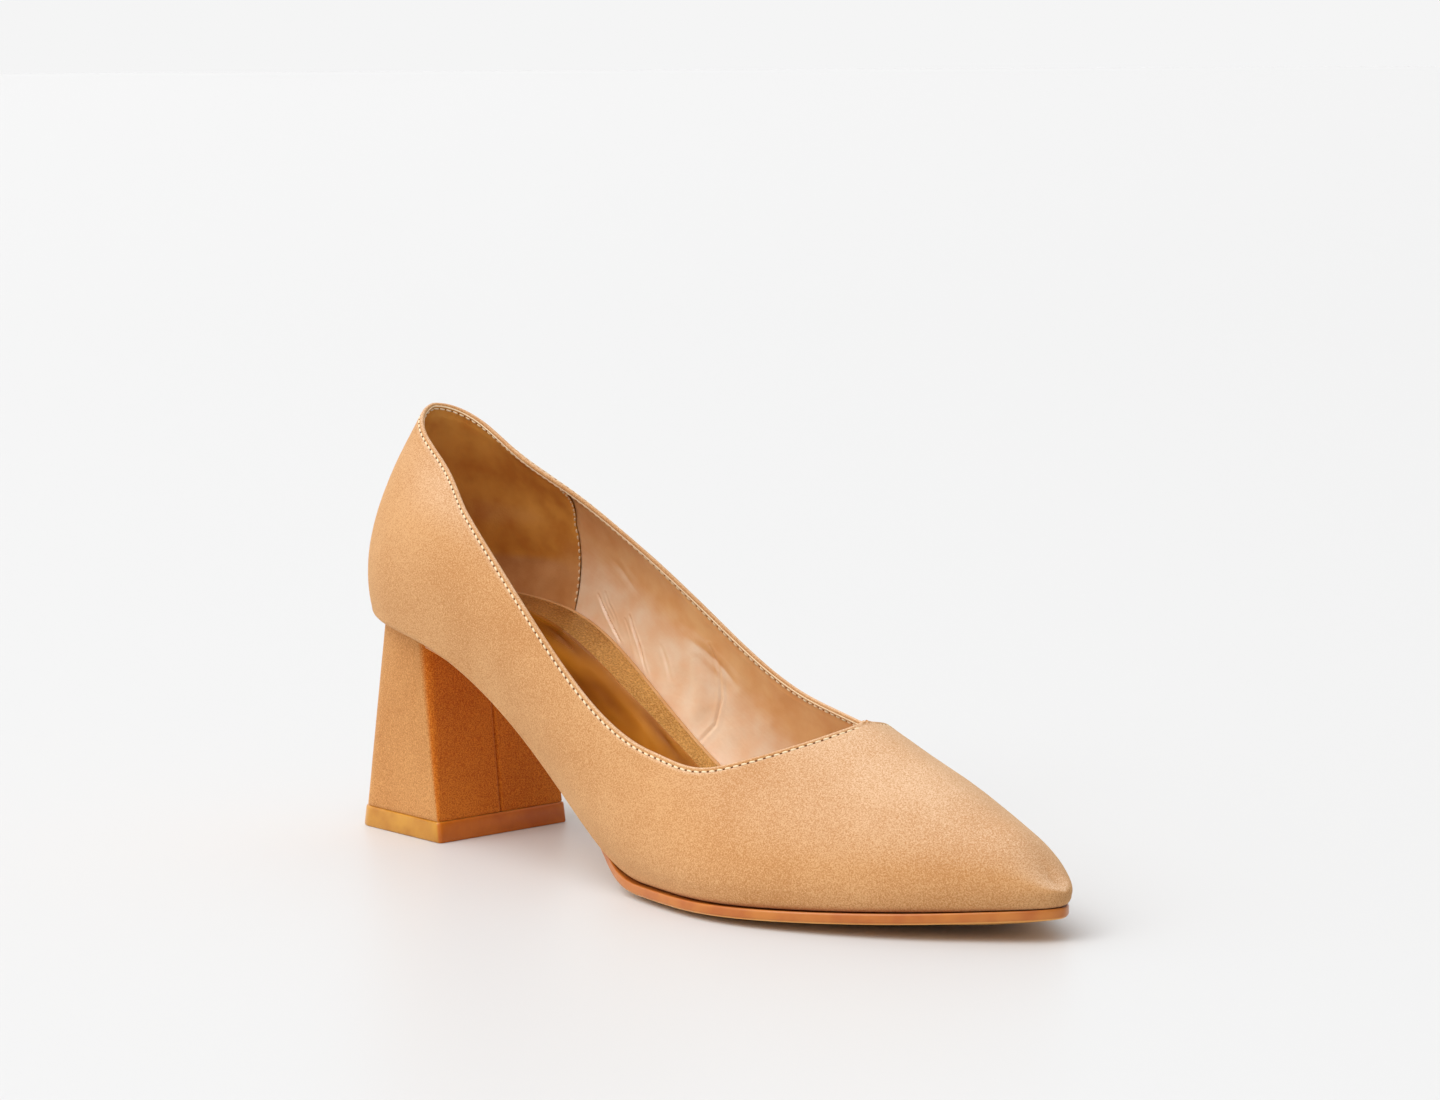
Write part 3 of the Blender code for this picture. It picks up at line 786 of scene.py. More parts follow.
# %% Faux suede
def faux_suede(name, plain, turned, axis, limits):
    material, tree, shader, place_socket = new_material(name)
    nap = add_node(tree, "ShaderNodeTexNoise",
                   {"Vector": place_socket, "Scale": per_mm(26), "Detail": 3.0, "Roughness": 0.5})
    fleck = add_node(tree, "ShaderNodeTexNoise",
                     {"Vector": place_socket, "Scale": per_mm(0.36), "Detail": 3.0, "Roughness": 0.7})
    both = add_node(tree, "ShaderNodeMix",
                    {"Factor": 0.8, "A": nap.outputs["Fac"], "B": fleck.outputs["Fac"]},
                    data_type="FLOAT")
    colour = painted_light_by_direction(tree, both.outputs["Result"], plain, turned, axis, limits, 0.085)
    tree.links.new(colour, shader.inputs["Base Color"])
    roughen(tree, shader, fleck.outputs["Fac"], 0.6, 0.32)
    set_shader(shader, {"Roughness": 0.9, "IOR": 1.45, "Specular IOR Level": 0.2, "Sheen Weight": 0.4,
                        "Sheen Roughness": 0.45, "Sheen Tint": linear("#ffdcae")})
    return material


# Painted light: faces that turn up take the paler turned pair, steep walls the darker plain pair.
TAN_SUEDE = faux_suede("tan_faux_suede", ("#bc824d", "#d9a774"), ("#c89466", "#e8c4a1"),
                       "Z", (0.38, 0.9))
# Painted shade: the heel's breast, facing the toe along X, takes the deeper orange turned pair.
HEEL_SUEDE = faux_suede("heel_faux_suede", ("#b5753c", "#d99e60"), ("#b4560c", "#de842c"),
                        "X", (0.15, 0.7))
print("suede made in two tones:", TAN_SUEDE.name, HEEL_SUEDE.name)

# %% [markdown]
# The linings are thin coated synthetics. The rear one is a brown napped cloth that grips the heel.
# The front one is smooth and slightly glossy, with the faint pebble of embossed leather. Light and
# shade are painted into both by the way the wall faces: golden brown where it leans in under the
# topline, and pale and pinkish lower down. A picture of leather would do, but a cell pattern for the
# pebble stays sharp at any distance.


# %% Linings
def coated_lining(name, leaning_shading, upright_shading, roughness, grain, depth, coat=0.0):
    material, tree, shader, place_socket = new_material(name)
    cloud = add_node(tree, "ShaderNodeTexNoise",
                     {"Vector": place_socket, "Scale": per_mm(9), "Detail": 3.0})
    colour = painted_light_by_direction(tree, cloud.outputs["Fac"], leaning_shading, upright_shading, "Z", (-0.3, 0.06), 0.15)
    tree.links.new(colour, shader.inputs["Base Color"])
    pebble = add_node(tree, "ShaderNodeTexVoronoi", {"Vector": place_socket, "Scale": per_mm(grain)})
    roughen(tree, shader, pebble.outputs["Distance"], 0.35, depth)
    set_shader(shader, {"Roughness": roughness, "IOR": 1.5, "Coat Weight": coat, "Coat Roughness": 0.25})
    return material


# Painted light and shade: each lining takes its leaning pair under the topline, its upright pair lower.
REAR_LINING = coated_lining("brown_napped_lining", ("#d6903e", "#edaf54"), ("#ca8e54", "#daa26a"),
                            roughness=0.55, grain=0.6, depth=0.06)
FRONT_LINING = coated_lining("smooth_beige_lining", ("#ecb27a", "#f6c892"), ("#f9d0a8", "#fee4c6"),
                             roughness=0.32, grain=0.9, depth=0.05, coat=0.35)
BINDING_FILM = coated_lining("tan_binding", ("#d39c62", "#dfae76"), ("#d39c62", "#dfae76"),
                             roughness=0.5, grain=0.6, depth=0.05)
print("linings:", REAR_LINING.name, FRONT_LINING.name, BINDING_FILM.name)

# %% [markdown]
# The sock is a gold-brown metallised film on foam. Its middle is smooth and glossy like amber, with
# slow ripples along the foot, and its border is embossed with a fine grain that glitters. Both are
# one material with other numbers, because the film is the same and only the embossing differs.


# %% Sock films
def metallic_film(name, colours, roughness, grain, depth, metallic, stretch=1.0):
    """The stretch draws the pattern out along the foot, as the ripples of a glossy film run."""
    material, tree, shader, place_socket = new_material(name)
    drawn = add_node(tree, "ShaderNodeMapping",
                     {"Vector": place_socket, "Scale": (1 / stretch, 1.0, 1 / stretch)})
    cell = add_node(tree, "ShaderNodeTexVoronoi",
                    {"Vector": drawn.outputs["Vector"], "Scale": per_mm(grain)},
                    feature="SMOOTH_F1" if stretch > 1 else "F1")
    drift = add_node(tree, "ShaderNodeTexNoise",
                     {"Vector": place_socket, "Scale": per_mm(20), "Detail": 2.0})
    both = add_node(tree, "ShaderNodeMix",
                    {"Factor": 0.5, "A": cell.outputs["Distance"], "B": drift.outputs["Fac"]},
                    data_type="FLOAT")
    tree.links.new(ramp_of(tree, both.outputs["Result"], colours, 0.2), shader.inputs["Base Color"])
    roughen(tree, shader, cell.outputs["Distance"], 0.6, depth)
    set_shader(shader, {"Metallic": metallic, "Roughness": roughness})
    return material


SOCK_BORDER = metallic_film("bronze_embossed_film", ("#a87a35", "#e2ba72"), roughness=0.36,
                            grain=0.55, depth=0.2, metallic=0.8)
SOCK_PANEL = metallic_film("amber_gloss_film", ("#8a4f08", "#d09026"), roughness=0.14,
                           grain=5.0, depth=0.9, metallic=0.6, stretch=6.0)
print("sock films:", SOCK_BORDER.name, SOCK_PANEL.name)

# %% [markdown]
# The outsole and the heel's top piece are moulded resin, cast in a tan that lets a little light in
# at thin edges. Moulding leaves a half-gloss skin with a very faint waviness. Light that really
# passes through the resin would make the render slow, so light and shade are painted into the colour
# by the way the surface faces: the sole's lower arris, which faces the pale floor, is painted paler
# as a highlight, the brightest part of it, and the top piece's breast is painted in a deeper shade.


# %% Resin, thread and painted needle-hole shade
def moulded_resin(name, plain, turned, axis, limits, roughness, coat):
    material, tree, shader, place_socket = new_material(name)
    wave = add_node(tree, "ShaderNodeTexNoise",
                    {"Vector": place_socket, "Scale": per_mm(7), "Detail": 3.0})
    colour = painted_light_by_direction(tree, wave.outputs["Fac"], plain, turned, axis, limits, 0.15)
    tree.links.new(colour, shader.inputs["Base Color"])
    skin = add_node(tree, "ShaderNodeTexNoise",
                    {"Vector": place_socket, "Scale": per_mm(1.2), "Detail": 2.0})
    roughen(tree, shader, skin.outputs["Fac"], 0.3, 0.05)
    set_shader(shader, {"Roughness": roughness, "IOR": 1.52, "Specular IOR Level": 0.35,
                        "Coat Weight": coat, "Coat Roughness": 0.12})
    return material


def plain_fibre(name, colour, roughness):
    material, tree, shader, place_socket = new_material(name)
    twist = add_node(tree, "ShaderNodeTexNoise", {"Vector": place_socket, "Scale": per_mm(0.3)})
    roughen(tree, shader, twist.outputs["Fac"], 0.5, 0.05)
    set_shader(shader, {"Base Color": linear(colour), "Roughness": roughness})
    return material


# Painted light: faces that turn down, as the lower arris does, take the pale plain pair.
SOLE_RESIN = moulded_resin("tan_sole_resin", ("#f0aa54", "#f6b864"), ("#b96628", "#c87a32"),
                           "Z", (-0.85, -0.3), roughness=0.34, coat=0.2)
# Painted shade: the top piece's breast, facing the toe along X, takes the deeper turned pair.
TIP_RESIN = moulded_resin("tan_top_piece_resin", ("#bb7a20", "#ce9130"), ("#b85e10", "#ca701a"),
                          "X", (0.15, 0.7), roughness=0.34, coat=0.1)
THREAD = plain_fibre("cream_thread", "#f0dab4", 0.6)
# Painted shade: the dark inside each needle-hole pit.
NEEDLE_HOLE_SHADE = plain_fibre("needle_hole_shadow", "#6e421f", 0.9)
EDGE_BEAD = plain_fibre("pale_lining_edge", "#f6dcb4", 0.4)
print("resins and threads made")

# %% [markdown]
# ## The suede upper
# The row of stitches pulls the suede down into a shallow groove, and the strip above the groove
# swells a little, because it is folded double. A bump map could draw the groove, but it is a form
# that catches the light along the whole edge, so it moves the points themselves. How far a point
# lies from the topline comes from a search tree over points along it.

# %% Relief of the sewn edge
STITCH_LINE = 0.75 * MM
STITCH_REACH = 6 * MM        # past this the stitches don't pull the cloth
GROOVE_DEPTH = 0.22 * MM
GROOVE_WIDTH = 0.38 * MM
FOLD_SWELL = 0.06 * MM
FOLD_WIDTH = 0.4 * MM
SHOULDER_LINE = 1.8 * MM
SHOULDER_WIDTH = 0.6 * MM
HAND_FADE = 6                # rows over which the unevenness sets in
FOLD_ANGLES = [15, 35, 55, 75, 95, 115, 135, 155, 172]


def topline_distance_tree():
    count = int(TOPLINE_TRACK.length / (0.2 * MM))
    tree = KDTree(count + 1)
    for i in range(count + 1):
        tree.insert(TOPLINE_TRACK.at(TOPLINE_TRACK.length * i / count)[0], i)
    tree.balance()
    return tree


TOPLINE_TREE = topline_distance_tree()


def hump(distance, centre, width):
    return math.exp(-((distance - centre) / width) ** 2)


def sewn_relief(point):
    """How far the suede stands out of the last's surface near the stitched edge."""
    distance = TOPLINE_TREE.find(point)[2]
    if distance > STITCH_REACH:
        return 0.0
    groove = -GROOVE_DEPTH * hump(distance, STITCH_LINE, GROOVE_WIDTH)
    fold = FOLD_SWELL * hump(distance, 0.0, FOLD_WIDTH)
    shoulder = FOLD_SWELL * hump(distance, SHOULDER_LINE, SHOULDER_WIDTH)
    return groove + fold + shoulder


def hand_relief(point):
    """The slow unevenness of cloth stretched over a last."""
    return 0.10 * MM * noise.noise(point / (16 * MM)) + 0.04 * MM * noise.noise(point / (6 * MM))


print("relief on the stitch line:", round(sewn_relief(beside(0.1, STITCH_LINE, 0.0)[0]) / MM, 2), "mm")

# %% [markdown]
# The suede is one sheet. From the lasted margin it turns round the feather line, climbs the wall,
# rolls over the topline and ends inside, behind the lining. A shell made with Solidify would have a
# square edge, so the roll is drawn as a few extra rows on a small circle.


# %% Suede sheet
def suede_column(side, i):
    points = []
    for j in range(LAST_ROW + 1):
        point, normal = GRID[side][i][j], NORMALS[side][i][j]
        fade = min(1.0, max(0.0, (j - UNDER_COUNT) / HAND_FADE))
        points.append(point + normal * (sewn_relief(point) + fade * hand_relief(point)))
    if i <= RIM_COLUMNS:
        points += folded_edge(side, i, points[-1])
    return points


def folded_edge(side, i, start):
    """The roll over the topline, and a last row tucked in behind the lining."""
    point, normal = rim_of(side, i)
    along = (neighbour(side, i + 1, LAST_ROW) - neighbour(side, i - 1, LAST_ROW)).normalized() * -side
    if i == RIM_COLUMNS:
        along = (GRID[side][i - 1][LAST_ROW] - GRID[-side][i - 1][LAST_ROW]).normalized() * side
    up = normal.cross(along).normalized()
    middle = point - normal * FOLD_RADIUS
    rolled = []
    for angle in FOLD_ANGLES:
        turn = math.radians(angle)
        rolled.append(middle + (normal * math.cos(turn) + up * math.sin(turn)) * FOLD_RADIUS)
    rolled[0] = rolled[0].lerp(start, 0.3)
    return rolled + [point - normal * (EDGE_WALL - 0.3 * MM) - up * 1.0 * MM]


def suede_grids():
    grids = []
    for side in (-1, 1):
        columns = [suede_column(side, i) for i in range(LAST_COLUMN + 1)]
        rim = columns[:RIM_COLUMNS + 1]
        front = [column[:LAST_ROW + 1] for column in columns[RIM_COLUMNS:]]
        grids += [(rim, side > 0), (front, side > 0)]
    return grids


suede_upper = mesh_piece("suede_upper", suede_grids(), TAN_SUEDE)
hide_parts("upper")

# %% [markdown]
# ## The two linings
# Inside, two linings meet at a stitched seam beside the heel: a napped brown one round the back,
# which holds the foot, and a smooth one in front of it. They could be the suede's own back faces in
# another colour, but then they could neither wrinkle nor meet at a seam. So both are sheets of their
# own that follow the suede's surface one wall further in. The rows and columns are read between the
# grid's own, so that a lining can be drawn more finely where it wrinkles.

# %% Inside surface
LINING_CUT = 0.9             # share of the last row by which the linings stop short of the fold
THIN_FROM = 18               # rows under the topline where the wall starts to thin
THIN_ROWS = 14
LINING_LOW = UNDER_COUNT - 3
LINING_ROWS = 64

# The seam between the linings: height over the underside, distance from the heel's back, in mm
SEAM = [(0, 41.5), (12, 43), (21, 44), (30, 45), (40, 50.5), (60, 62)]


def table_at(rows, value):
    """Straight-line reading of a two-column table."""
    for (a, left), (b, right) in zip(rows, rows[1:]):
        if value <= b:
            return left + (right - left) * max(value - a, 0.0) / (b - a)
    return rows[-1][1]


def inside(side, column, row, depth=0.0):
    """Point and outward direction of the inner surface, between the grid's columns and rows."""
    thin = blend_step((row - LAST_ROW + THIN_FROM) / THIN_ROWS)
    wall = WALL + (EDGE_WALL - WALL) * thin
    i = min(int(column), LAST_COLUMN - 1)
    j = min(int(row), LAST_ROW - 1)
    a, b = column - i, row - j
    mixed = []
    for source in (GRID[side], NORMALS[side]):
        low = source[i][j].lerp(source[i + 1][j], a)
        high = source[i][j + 1].lerp(source[i + 1][j + 1], a)
        mixed.append(low.lerp(high, b))
    normal = mixed[1].normalized()
    return mixed[0] - normal * (wall + depth), normal


def seam_column(side, row):
    """Column, as a fraction, at which a row crosses the seam between the linings."""
    def behind(column):
        point, _ = inside(side, column, row)
        return point.x < table_at(SEAM, (point.z - underside(point.x)) / MM) * MM
    return crossing(behind, 0.0, float(BACK_COLUMNS))


print("seam at the topline, column:", round(seam_column(1, LAST_ROW), 1))

# %% [markdown]
# The smooth lining wrinkles where the last was pulled out. Each wrinkle is given as a line of
# points in millimetres from the heel's back, the middle and the floor, with its depth and width.
# It is a soft trough between two low ridges. Cloth simulation would wrinkle the lining too, but not
# where this one does.

# %% Wrinkles placed one by one
WRINKLE_REACH = 32 * MM      # no wrinkle is longer than this from its middle
WRINKLES = [
    ([(50.6, 27.4, 63.5), (52.6, 27.2, 60.6), (55.8, 26.8, 57), (58, 26.4, 54.6), (61.2, 26, 51.5)],
     0.60, 0.38),
    ([(53.4, 27.5, 64.4), (55.0, 27.2, 61.4), (57.4, 26.9, 58.8), (59.4, 26.6, 55.6)], 0.38, 0.34),
    ([(63.6, 27.3, 58.9), (65, 27.2, 56.2), (68.9, 26.5, 50.4), (70.8, 26.1, 46.9), (73.6, 25.5, 42.6)],
     0.65, 0.38),
    ([(61.8, 27.2, 57.9), (64.9, 27.0, 53.2), (67.2, 26.4, 48.6), (70.4, 25.8, 45.0)], 0.46, 0.34),
    ([(94.8, 28.4, 54), (96.9, 29, 47), (97.3, 29.5, 39.5), (96.4, 28.2, 32.8), (92.6, 25, 27.2)],
     0.42, 0.60),
    ([(88.0, 28.6, 50), (90.5, 28.9, 44), (91.0, 28.6, 38.0), (89.0, 27.0, 32.0)], -0.75, 4.20),
    ([(86.0, 28.6, 55), (92.0, 29.1, 52.6), (98.0, 29.4, 48.4), (103.0, 29.6, 44.0)], 0.22, 1.30),
    ([(101.5, 28.8, 33.5), (104.5, 28.6, 29.6), (109.0, 28.4, 26.4)], 0.20, 0.80),
    ([(76.0, 27.4, 52.0), (78.6, 27.2, 47.6), (80.6, 26.6, 43.4)], 0.20, 0.60),
    ([(57.0, 25.8, 74.0), (61.6, 26.6, 70.5), (66.0, 27.2, 66.5)], 0.16, 1.30),
]


def line_distance(point, line):
    """Distance from a point to a line of points, and how far along it the nearest place is."""
    best, share = 1.0, 0.0
    for k, (a, b) in enumerate(zip(line, line[1:])):
        part = min(max((point - a).dot(b - a) / (b - a).length_squared, 0.0), 1.0)
        gap = (point - a.lerp(b, part)).length
        if gap < best:
            best, share = gap, (k + part) / (len(line) - 1)
    return best, share


WRINKLE_LINES = [([Vector(p) * MM for p in line], depth * MM, width * MM) for line, depth, width in WRINKLES]


def wrinkle_relief(point):
    """Height of the lining over its smooth form."""
    height = 0.0
    for line, depth, width in WRINKLE_LINES:
        if (line[len(line) // 2] - point).length > WRINKLE_REACH:
            continue
        gap, share = line_distance(point, line)
        if gap < 4 * width:
            taper = math.sin(math.pi * min(max(0.12 + 0.76 * share, 0.0), 1.0))
            lip = 0.4 * hump(gap, 1.7 * width, 0.8 * width)
            height += depth * taper * (lip - hump(gap, 0.0, 0.62 * width))
    return height


def slack_relief(point):
    """Slow waves of a lining that is glued only here and there."""
    wave = noise.noise(Vector((point.x / (9 * MM), point.y / (9 * MM), point.z / (16 * MM))))
    return 0.20 * MM * wave + 0.07 * MM * noise.noise(point / (3.5 * MM))


print("wrinkles:", len(WRINKLE_LINES))

# %% [markdown]
# Each lining is cut where its own edge lies: at the heel's back, along the slanting seam, or in
# front of the throat. So a grid's first and last columns are given as functions of the row, and the
# columns between them are spread evenly. The rear one swells over the padded grip.


# %% Lining grids
PULLED_ROWS = 14             # rows under the topline that the stitches pull
EDGE_FADE = 8                # rows over which wrinkles and padding fade out

# The padded grip: swell, height over the floor and width, in mm
PADDING = [(1.2, 81, 6), (-0.7, 71.5, 3.6)]


def lining_rows(count):
    """Rows, closer together near the topline."""
    return [LINING_LOW + (LAST_ROW - LINING_LOW) * (k / count) for k in range(count + 1)]


def counter_padding(point):
    """The rear lining swells over the padded grip and sinks in again below it."""
    away = blend_step((point.x - 4 * MM) / (10 * MM)) * blend_step((41 * MM - point.x) / (12 * MM))
    swell = sum(rise * MM * hump(point.z, height * MM, width * MM) for rise, height, width in PADDING)
    return swell * away


def lining_point(side, column, row, thick, wrinkled):
    point, normal = inside(side, column, row, thick)
    edge = LAST_ROW - row
    lift = sewn_relief(point + normal * WALL) * 0.5 if edge < PULLED_ROWS else 0.0
    fade = min(1.0, edge / EDGE_FADE)
    if wrinkled:
        lift += fade * (wrinkle_relief(point) + slack_relief(point))
    elif thick:
        lift += fade * counter_padding(point)
    return point - normal * lift


def lining_grid(side, first, last, count, rows, thick, wrinkled):
    """Columns between two limits that may differ from row to row."""
    columns = []
    for k in range(count + 1):
        column = []
        for row in rows:
            start, end = first(row), last(row)
            column.append(lining_point(side, start + (end - start) * k / count, row, thick, wrinkled))
        column[-1] = column[-1].lerp(column[-2], LINING_CUT)
        columns.append(column)
    return columns


SEAM_COLUMNS = {side: [(row, seam_column(side, row)) for row in range(LINING_LOW, LAST_ROW + 1)]
                for side in (-1, 1)}


def seam_at(side):
    return lambda row: table_at(SEAM_COLUMNS[side], row)


print("rows that cross the seam:", len(SEAM_COLUMNS[1]))

# %% [markdown]
# The rear lining lies a little proud of the front one, as an overlapped piece does. Only the inner
# side's front lining shows in the photograph, so it alone is drawn finely enough for the wrinkles.


# %% Both linings
def back(row):
    return 0.0


def front(row):
    return float(RIM_COLUMNS)


REAR_THICK = 0.22 * MM
coarse = lining_rows(LINING_ROWS)
fine = lining_rows(170)
rear_lining = mesh_piece("rear_lining",
                         [(lining_grid(-1, back, seam_at(-1), 44, coarse, REAR_THICK, False), True),
                          (lining_grid(1, back, seam_at(1), 44, coarse, REAR_THICK, False), False)],
                         REAR_LINING)
under_vamp = [[lining_point(side, float(i), float(row), 0.0, False)
               for row in range(LINING_LOW, LAST_ROW + 1)]
              for side in (-1, 1) for i in range(RIM_COLUMNS, LAST_COLUMN + 1)]
half_vamp = len(under_vamp) // 2
front_lining = mesh_piece("front_lining",
                          [(lining_grid(-1, seam_at(-1), front, 150, coarse, 0.0, False), True),
                           (lining_grid(1, seam_at(1), front, 400, fine, 0.0, True), False),
                           (under_vamp[:half_vamp], True), (under_vamp[half_vamp:], False)],
                          FRONT_LINING)

# %% [markdown]
# ## Stitches
# A lockstitch shows on both faces as a row of short grains of thread, each ending in a needle hole
# where the cloth is pulled in. Real ones are 2 mm apart. A dashed line in the colour would look flat
# in a raking light, so each grain is a small pointed tube, and all of them are joined into one mesh.

# %% One stitch
PITCH = 2.1 * MM
GRAIN = 1.5 * MM
THREAD_WIDTH = 0.27 * MM
THREAD_BOW = 0.10 * MM
STITCH_SLANT = 0.10
GRAIN_SIDES = 6
FLATTENED = 0.8              # thread is pressed a little flat where it lies on the cloth
GRAIN_RINGS = [(-1.0, 0.25), (-0.8, 0.8), (-0.35, 1.0), (0.35, 1.0), (0.8, 0.8), (1.0, 0.25)]


def grain_of_thread(middle, along, normal, length, width, bow):
    """Points and faces of one stitch, bowed out of the surface."""
    side_way = along.cross(normal).normalized()
    points, faces = [], []
    for share, swell in GRAIN_RINGS:
        centre = middle + along * (share * length / 2) + normal * (bow * (1 - share * share))
        for k in range(GRAIN_SIDES):
            turn = math.tau * k / GRAIN_SIDES
            round_way = side_way * math.cos(turn) + normal * FLATTENED * math.sin(turn)
            points.append(centre + round_way * width * swell)
    for ring in range(len(GRAIN_RINGS) - 1):
        for k in range(GRAIN_SIDES):
            a = ring * GRAIN_SIDES + k
            b = ring * GRAIN_SIDES + (k + 1) % GRAIN_SIDES
            faces.append((a, b, b + GRAIN_SIDES, a + GRAIN_SIDES))
    last = (len(GRAIN_RINGS) - 1) * GRAIN_SIDES
    faces += [tuple(reversed(range(GRAIN_SIDES))), tuple(range(last, last + GRAIN_SIDES))]
    return points, faces


print("stitches round the topline:", int(TOPLINE_TRACK.length / PITCH))

# %% [markdown]
# The row is sewn through suede and lining at once, so one function sets it out along the track and
# is called for each face, with its depth and the side that it bows to. A needle hole is a tiny pit.
# Cutting a few hundred real ones would tear the grid, so their shade is painted: thin dark grains
# between the light ones, which read the same at this size.


# %% Topline stitches
def topline_stitches(depth, turn, hole_length, hole_width):
    """Stitches along the topline, on the suede or, with a depth, on the linings."""
    count = int(TOPLINE_TRACK.length / PITCH)
    grains, holes = [], []
    for k in range(count):
        distance = (k + 0.5) * TOPLINE_TRACK.length / count
        point, along, normal = beside(distance, STITCH_LINE, depth)
        normal = normal * turn
        slanted = (along + along.cross(normal) * STITCH_SLANT).normalized()
        grains.append(grain_of_thread(point, slanted, normal, GRAIN, THREAD_WIDTH, THREAD_BOW))
        gap, along, normal = beside(distance + PITCH / 2, STITCH_LINE, depth)
        holes.append(grain_of_thread(gap, along, normal * turn, hole_length, hole_width, 0.0))
    return grains, holes


outer_grains, outer_holes = topline_stitches(depth=-0.16 * MM, turn=1,
                                             hole_length=0.62 * MM, hole_width=0.24 * MM)
inner_grains, inner_holes = topline_stitches(depth=-EDGE_WALL - 0.20 * MM, turn=-1,
                                             hole_length=0.36 * MM, hole_width=0.12 * MM)
topline_thread = mesh_piece("topline_stitches", [], THREAD, loose=outer_grains + inner_grains)
topline_hole_shade = mesh_piece("topline_needle_hole_shade", [], NEEDLE_HOLE_SHADE, loose=outer_holes + inner_holes)

# %% [markdown]
# The linings are joined before they go into the shoe, with a shorter stitch on the rear one's edge.
# The seam slants over a curved wall, so its stitches can't be placed by height alone. A track is
# made for each side from points along the seam, and the same grains are set out on it.


# %% Seam stitches
SEAM_PITCH = 1.9 * MM
SEAM_DEPTH = 0.44 * MM
SEAM_SHIFT = 0.1             # columns by which the row of stitches lies behind the edge
SEAM_ROWS = 90
SEAM_START = 12
SEAM_END = 86


def seam_stitches():
    """The shorter stitches that join the linings."""
    grains = []
    for side in (-1, 1):
        points, normals = [], []
        for row in lining_rows(SEAM_ROWS)[SEAM_START:SEAM_END]:
            point, normal = inside(side, seam_at(side)(row) - SEAM_SHIFT, row, SEAM_DEPTH)
            points.append(point)
            normals.append(normal)
        track = Track(points, normals)
        count = int(track.length / SEAM_PITCH)
        for k in range(count):
            point, along, normal = track.at((k + 0.5) * track.length / count)
            grains.append(grain_of_thread(point, along, normal * -1, 1.2 * MM, 0.28 * MM, 0.12 * MM))
    return grains


seam_thread = mesh_piece("lining_seam_stitches", [], THREAD, loose=seam_stitches())

# %% [markdown]
# The linings' cut edge lies just under the fold and catches the light as a thin bright line. Turned
# edges on both sheets would be hidden for the most part, so only the line that shows is drawn, as a
# fine bead that runs all round the opening.

# %% Lining edge bead
def bead_grid(down, out, radius, sides=6, step=1.2 * MM):
    count = int(TOPLINE_TRACK.length / step)
    rings = []
    for k in range(count + 1):
        point, along, normal = beside(TOPLINE_TRACK.length * k / count, down, out)
        across_way = along.cross(normal).normalized()
        ring = []
        for s in range(sides + 1):
            turn = math.tau * s / sides
            ring.append(point + (normal * math.cos(turn) + across_way * math.sin(turn)) * radius)
        rings.append(ring)
    return rings


lining_edge = mesh_piece("lining_cut_edge",
                         [(bead_grid(down=0.05 * MM, out=-EDGE_WALL, radius=0.24 * MM), False)],
                         EDGE_BEAD)

# %% [markdown]
# ## The sock
# The sock covers the insole: an embossed bronze border with a smooth glossy panel in its middle,
# glued on top, and a narrow tan binding along its edge. One sheet with three materials would have
# jagged borders between them, so each is a sheet of its own. They are rings inside the insole's
# outline, each with its own inset and height.

# %% Rings inside the outline
SOCK_INSET = WALL + 0.1 * MM
SOCK_TOP = WALL + GAP + INSOLE
BINDING = 1.5 * MM
TOE_CLEARANCE = 1.6 * MM


def sock_edge(belt, extra):
    """Plan point of the sock's outline, drawn in by a little more."""
    toe = blend_step((outline(belt)[0] / LENGTH - TOE_START) / (1 - TOE_START))
    x, half = outline(belt, -(SOCK_INSET + TOE_CLEARANCE * toe + extra))
    return x, max(half, 0.0)


def sheet_rings(rings, stations=150, across_count=0):
    """A sheet's grids: rings of (extra inset, height) on each side, and a grid across the last."""
    belts = [i / stations for i in range(stations + 1)]
    grids = []
    for side in (-1, 1):
        columns = []
        for belt in belts:
            column = []
            for extra, height in rings:
                x, half = sock_edge(belt, extra)
                column.append(place(x, half, side, layer(x, height)))
            columns.append(column)
        grids.append((columns, side < 0))
    if across_count:
        columns = []
        for left, right in zip(grids[0][0], grids[1][0]):
            columns.append([left[-1].lerp(right[-1], k / across_count) for k in range(across_count + 1)])
        grids.append((columns, True))
    return grids


print("sock's inset:", round(SOCK_INSET / MM, 1), "mm")

# %% [markdown]
# The binding is a narrow strip folded over the sock's edge, so it stands a little over the border
# and drops back onto it. A pipe along the outline would be too round. A few rings give it a flat
# top. The border is the sock's whole sheet, also under the smooth panel, which is glued onto it.

# %% Binding and border
binding = mesh_piece("sock_binding",
                     sheet_rings([(0.0, WALL), (0.0, SOCK_TOP - 0.1 * MM),
                                  (0.4 * MM, SOCK_TOP + 0.16 * MM), (1.1 * MM, SOCK_TOP + 0.16 * MM),
                                  (BINDING, SOCK_TOP - 0.1 * MM)]),
                     BINDING_FILM)
sock = mesh_piece("sock_border",
                  sheet_rings([(0.2 * MM, WALL + GAP), (0.2 * MM, SOCK_TOP - INSOLE / 2),
                               (1.0 * MM, SOCK_TOP)], across_count=24)
                  + sheet_rings([(0.2 * MM, WALL + GAP)], across_count=4)[2:],
                  SOCK_BORDER)
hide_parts("insole")

# %% [markdown]
# The smooth panel is narrow over the heel, widens towards the ball of the foot and ends in a round
# in front. A flat shape pushed onto the sock would float over its curves, so the panel is laid on
# the same surface, a little higher. Its half width is a short table, and its edge is rolled down.

# %% Smooth panel
PANEL_COLUMNS = 130
PANEL_ROWS = 24
PANEL_RISE = 0.35 * MM
PANEL_ROLL = 0.8 * MM

# Distance from the heel's back and half width, in mm
PANEL = [
    (9, 0.5),
    (12, 7.5),
    (20, 11.6),
    (35, 13.4),
    (60, 13.8),
    (76, 14.4),
    (85, 16.0),
    (95, 17.6),
    (108, 19.0),
    (125, 20.6),
    (138, 20.0),
    (145, 17.0),
    (149, 11.0),
    (150, 0.5),
]


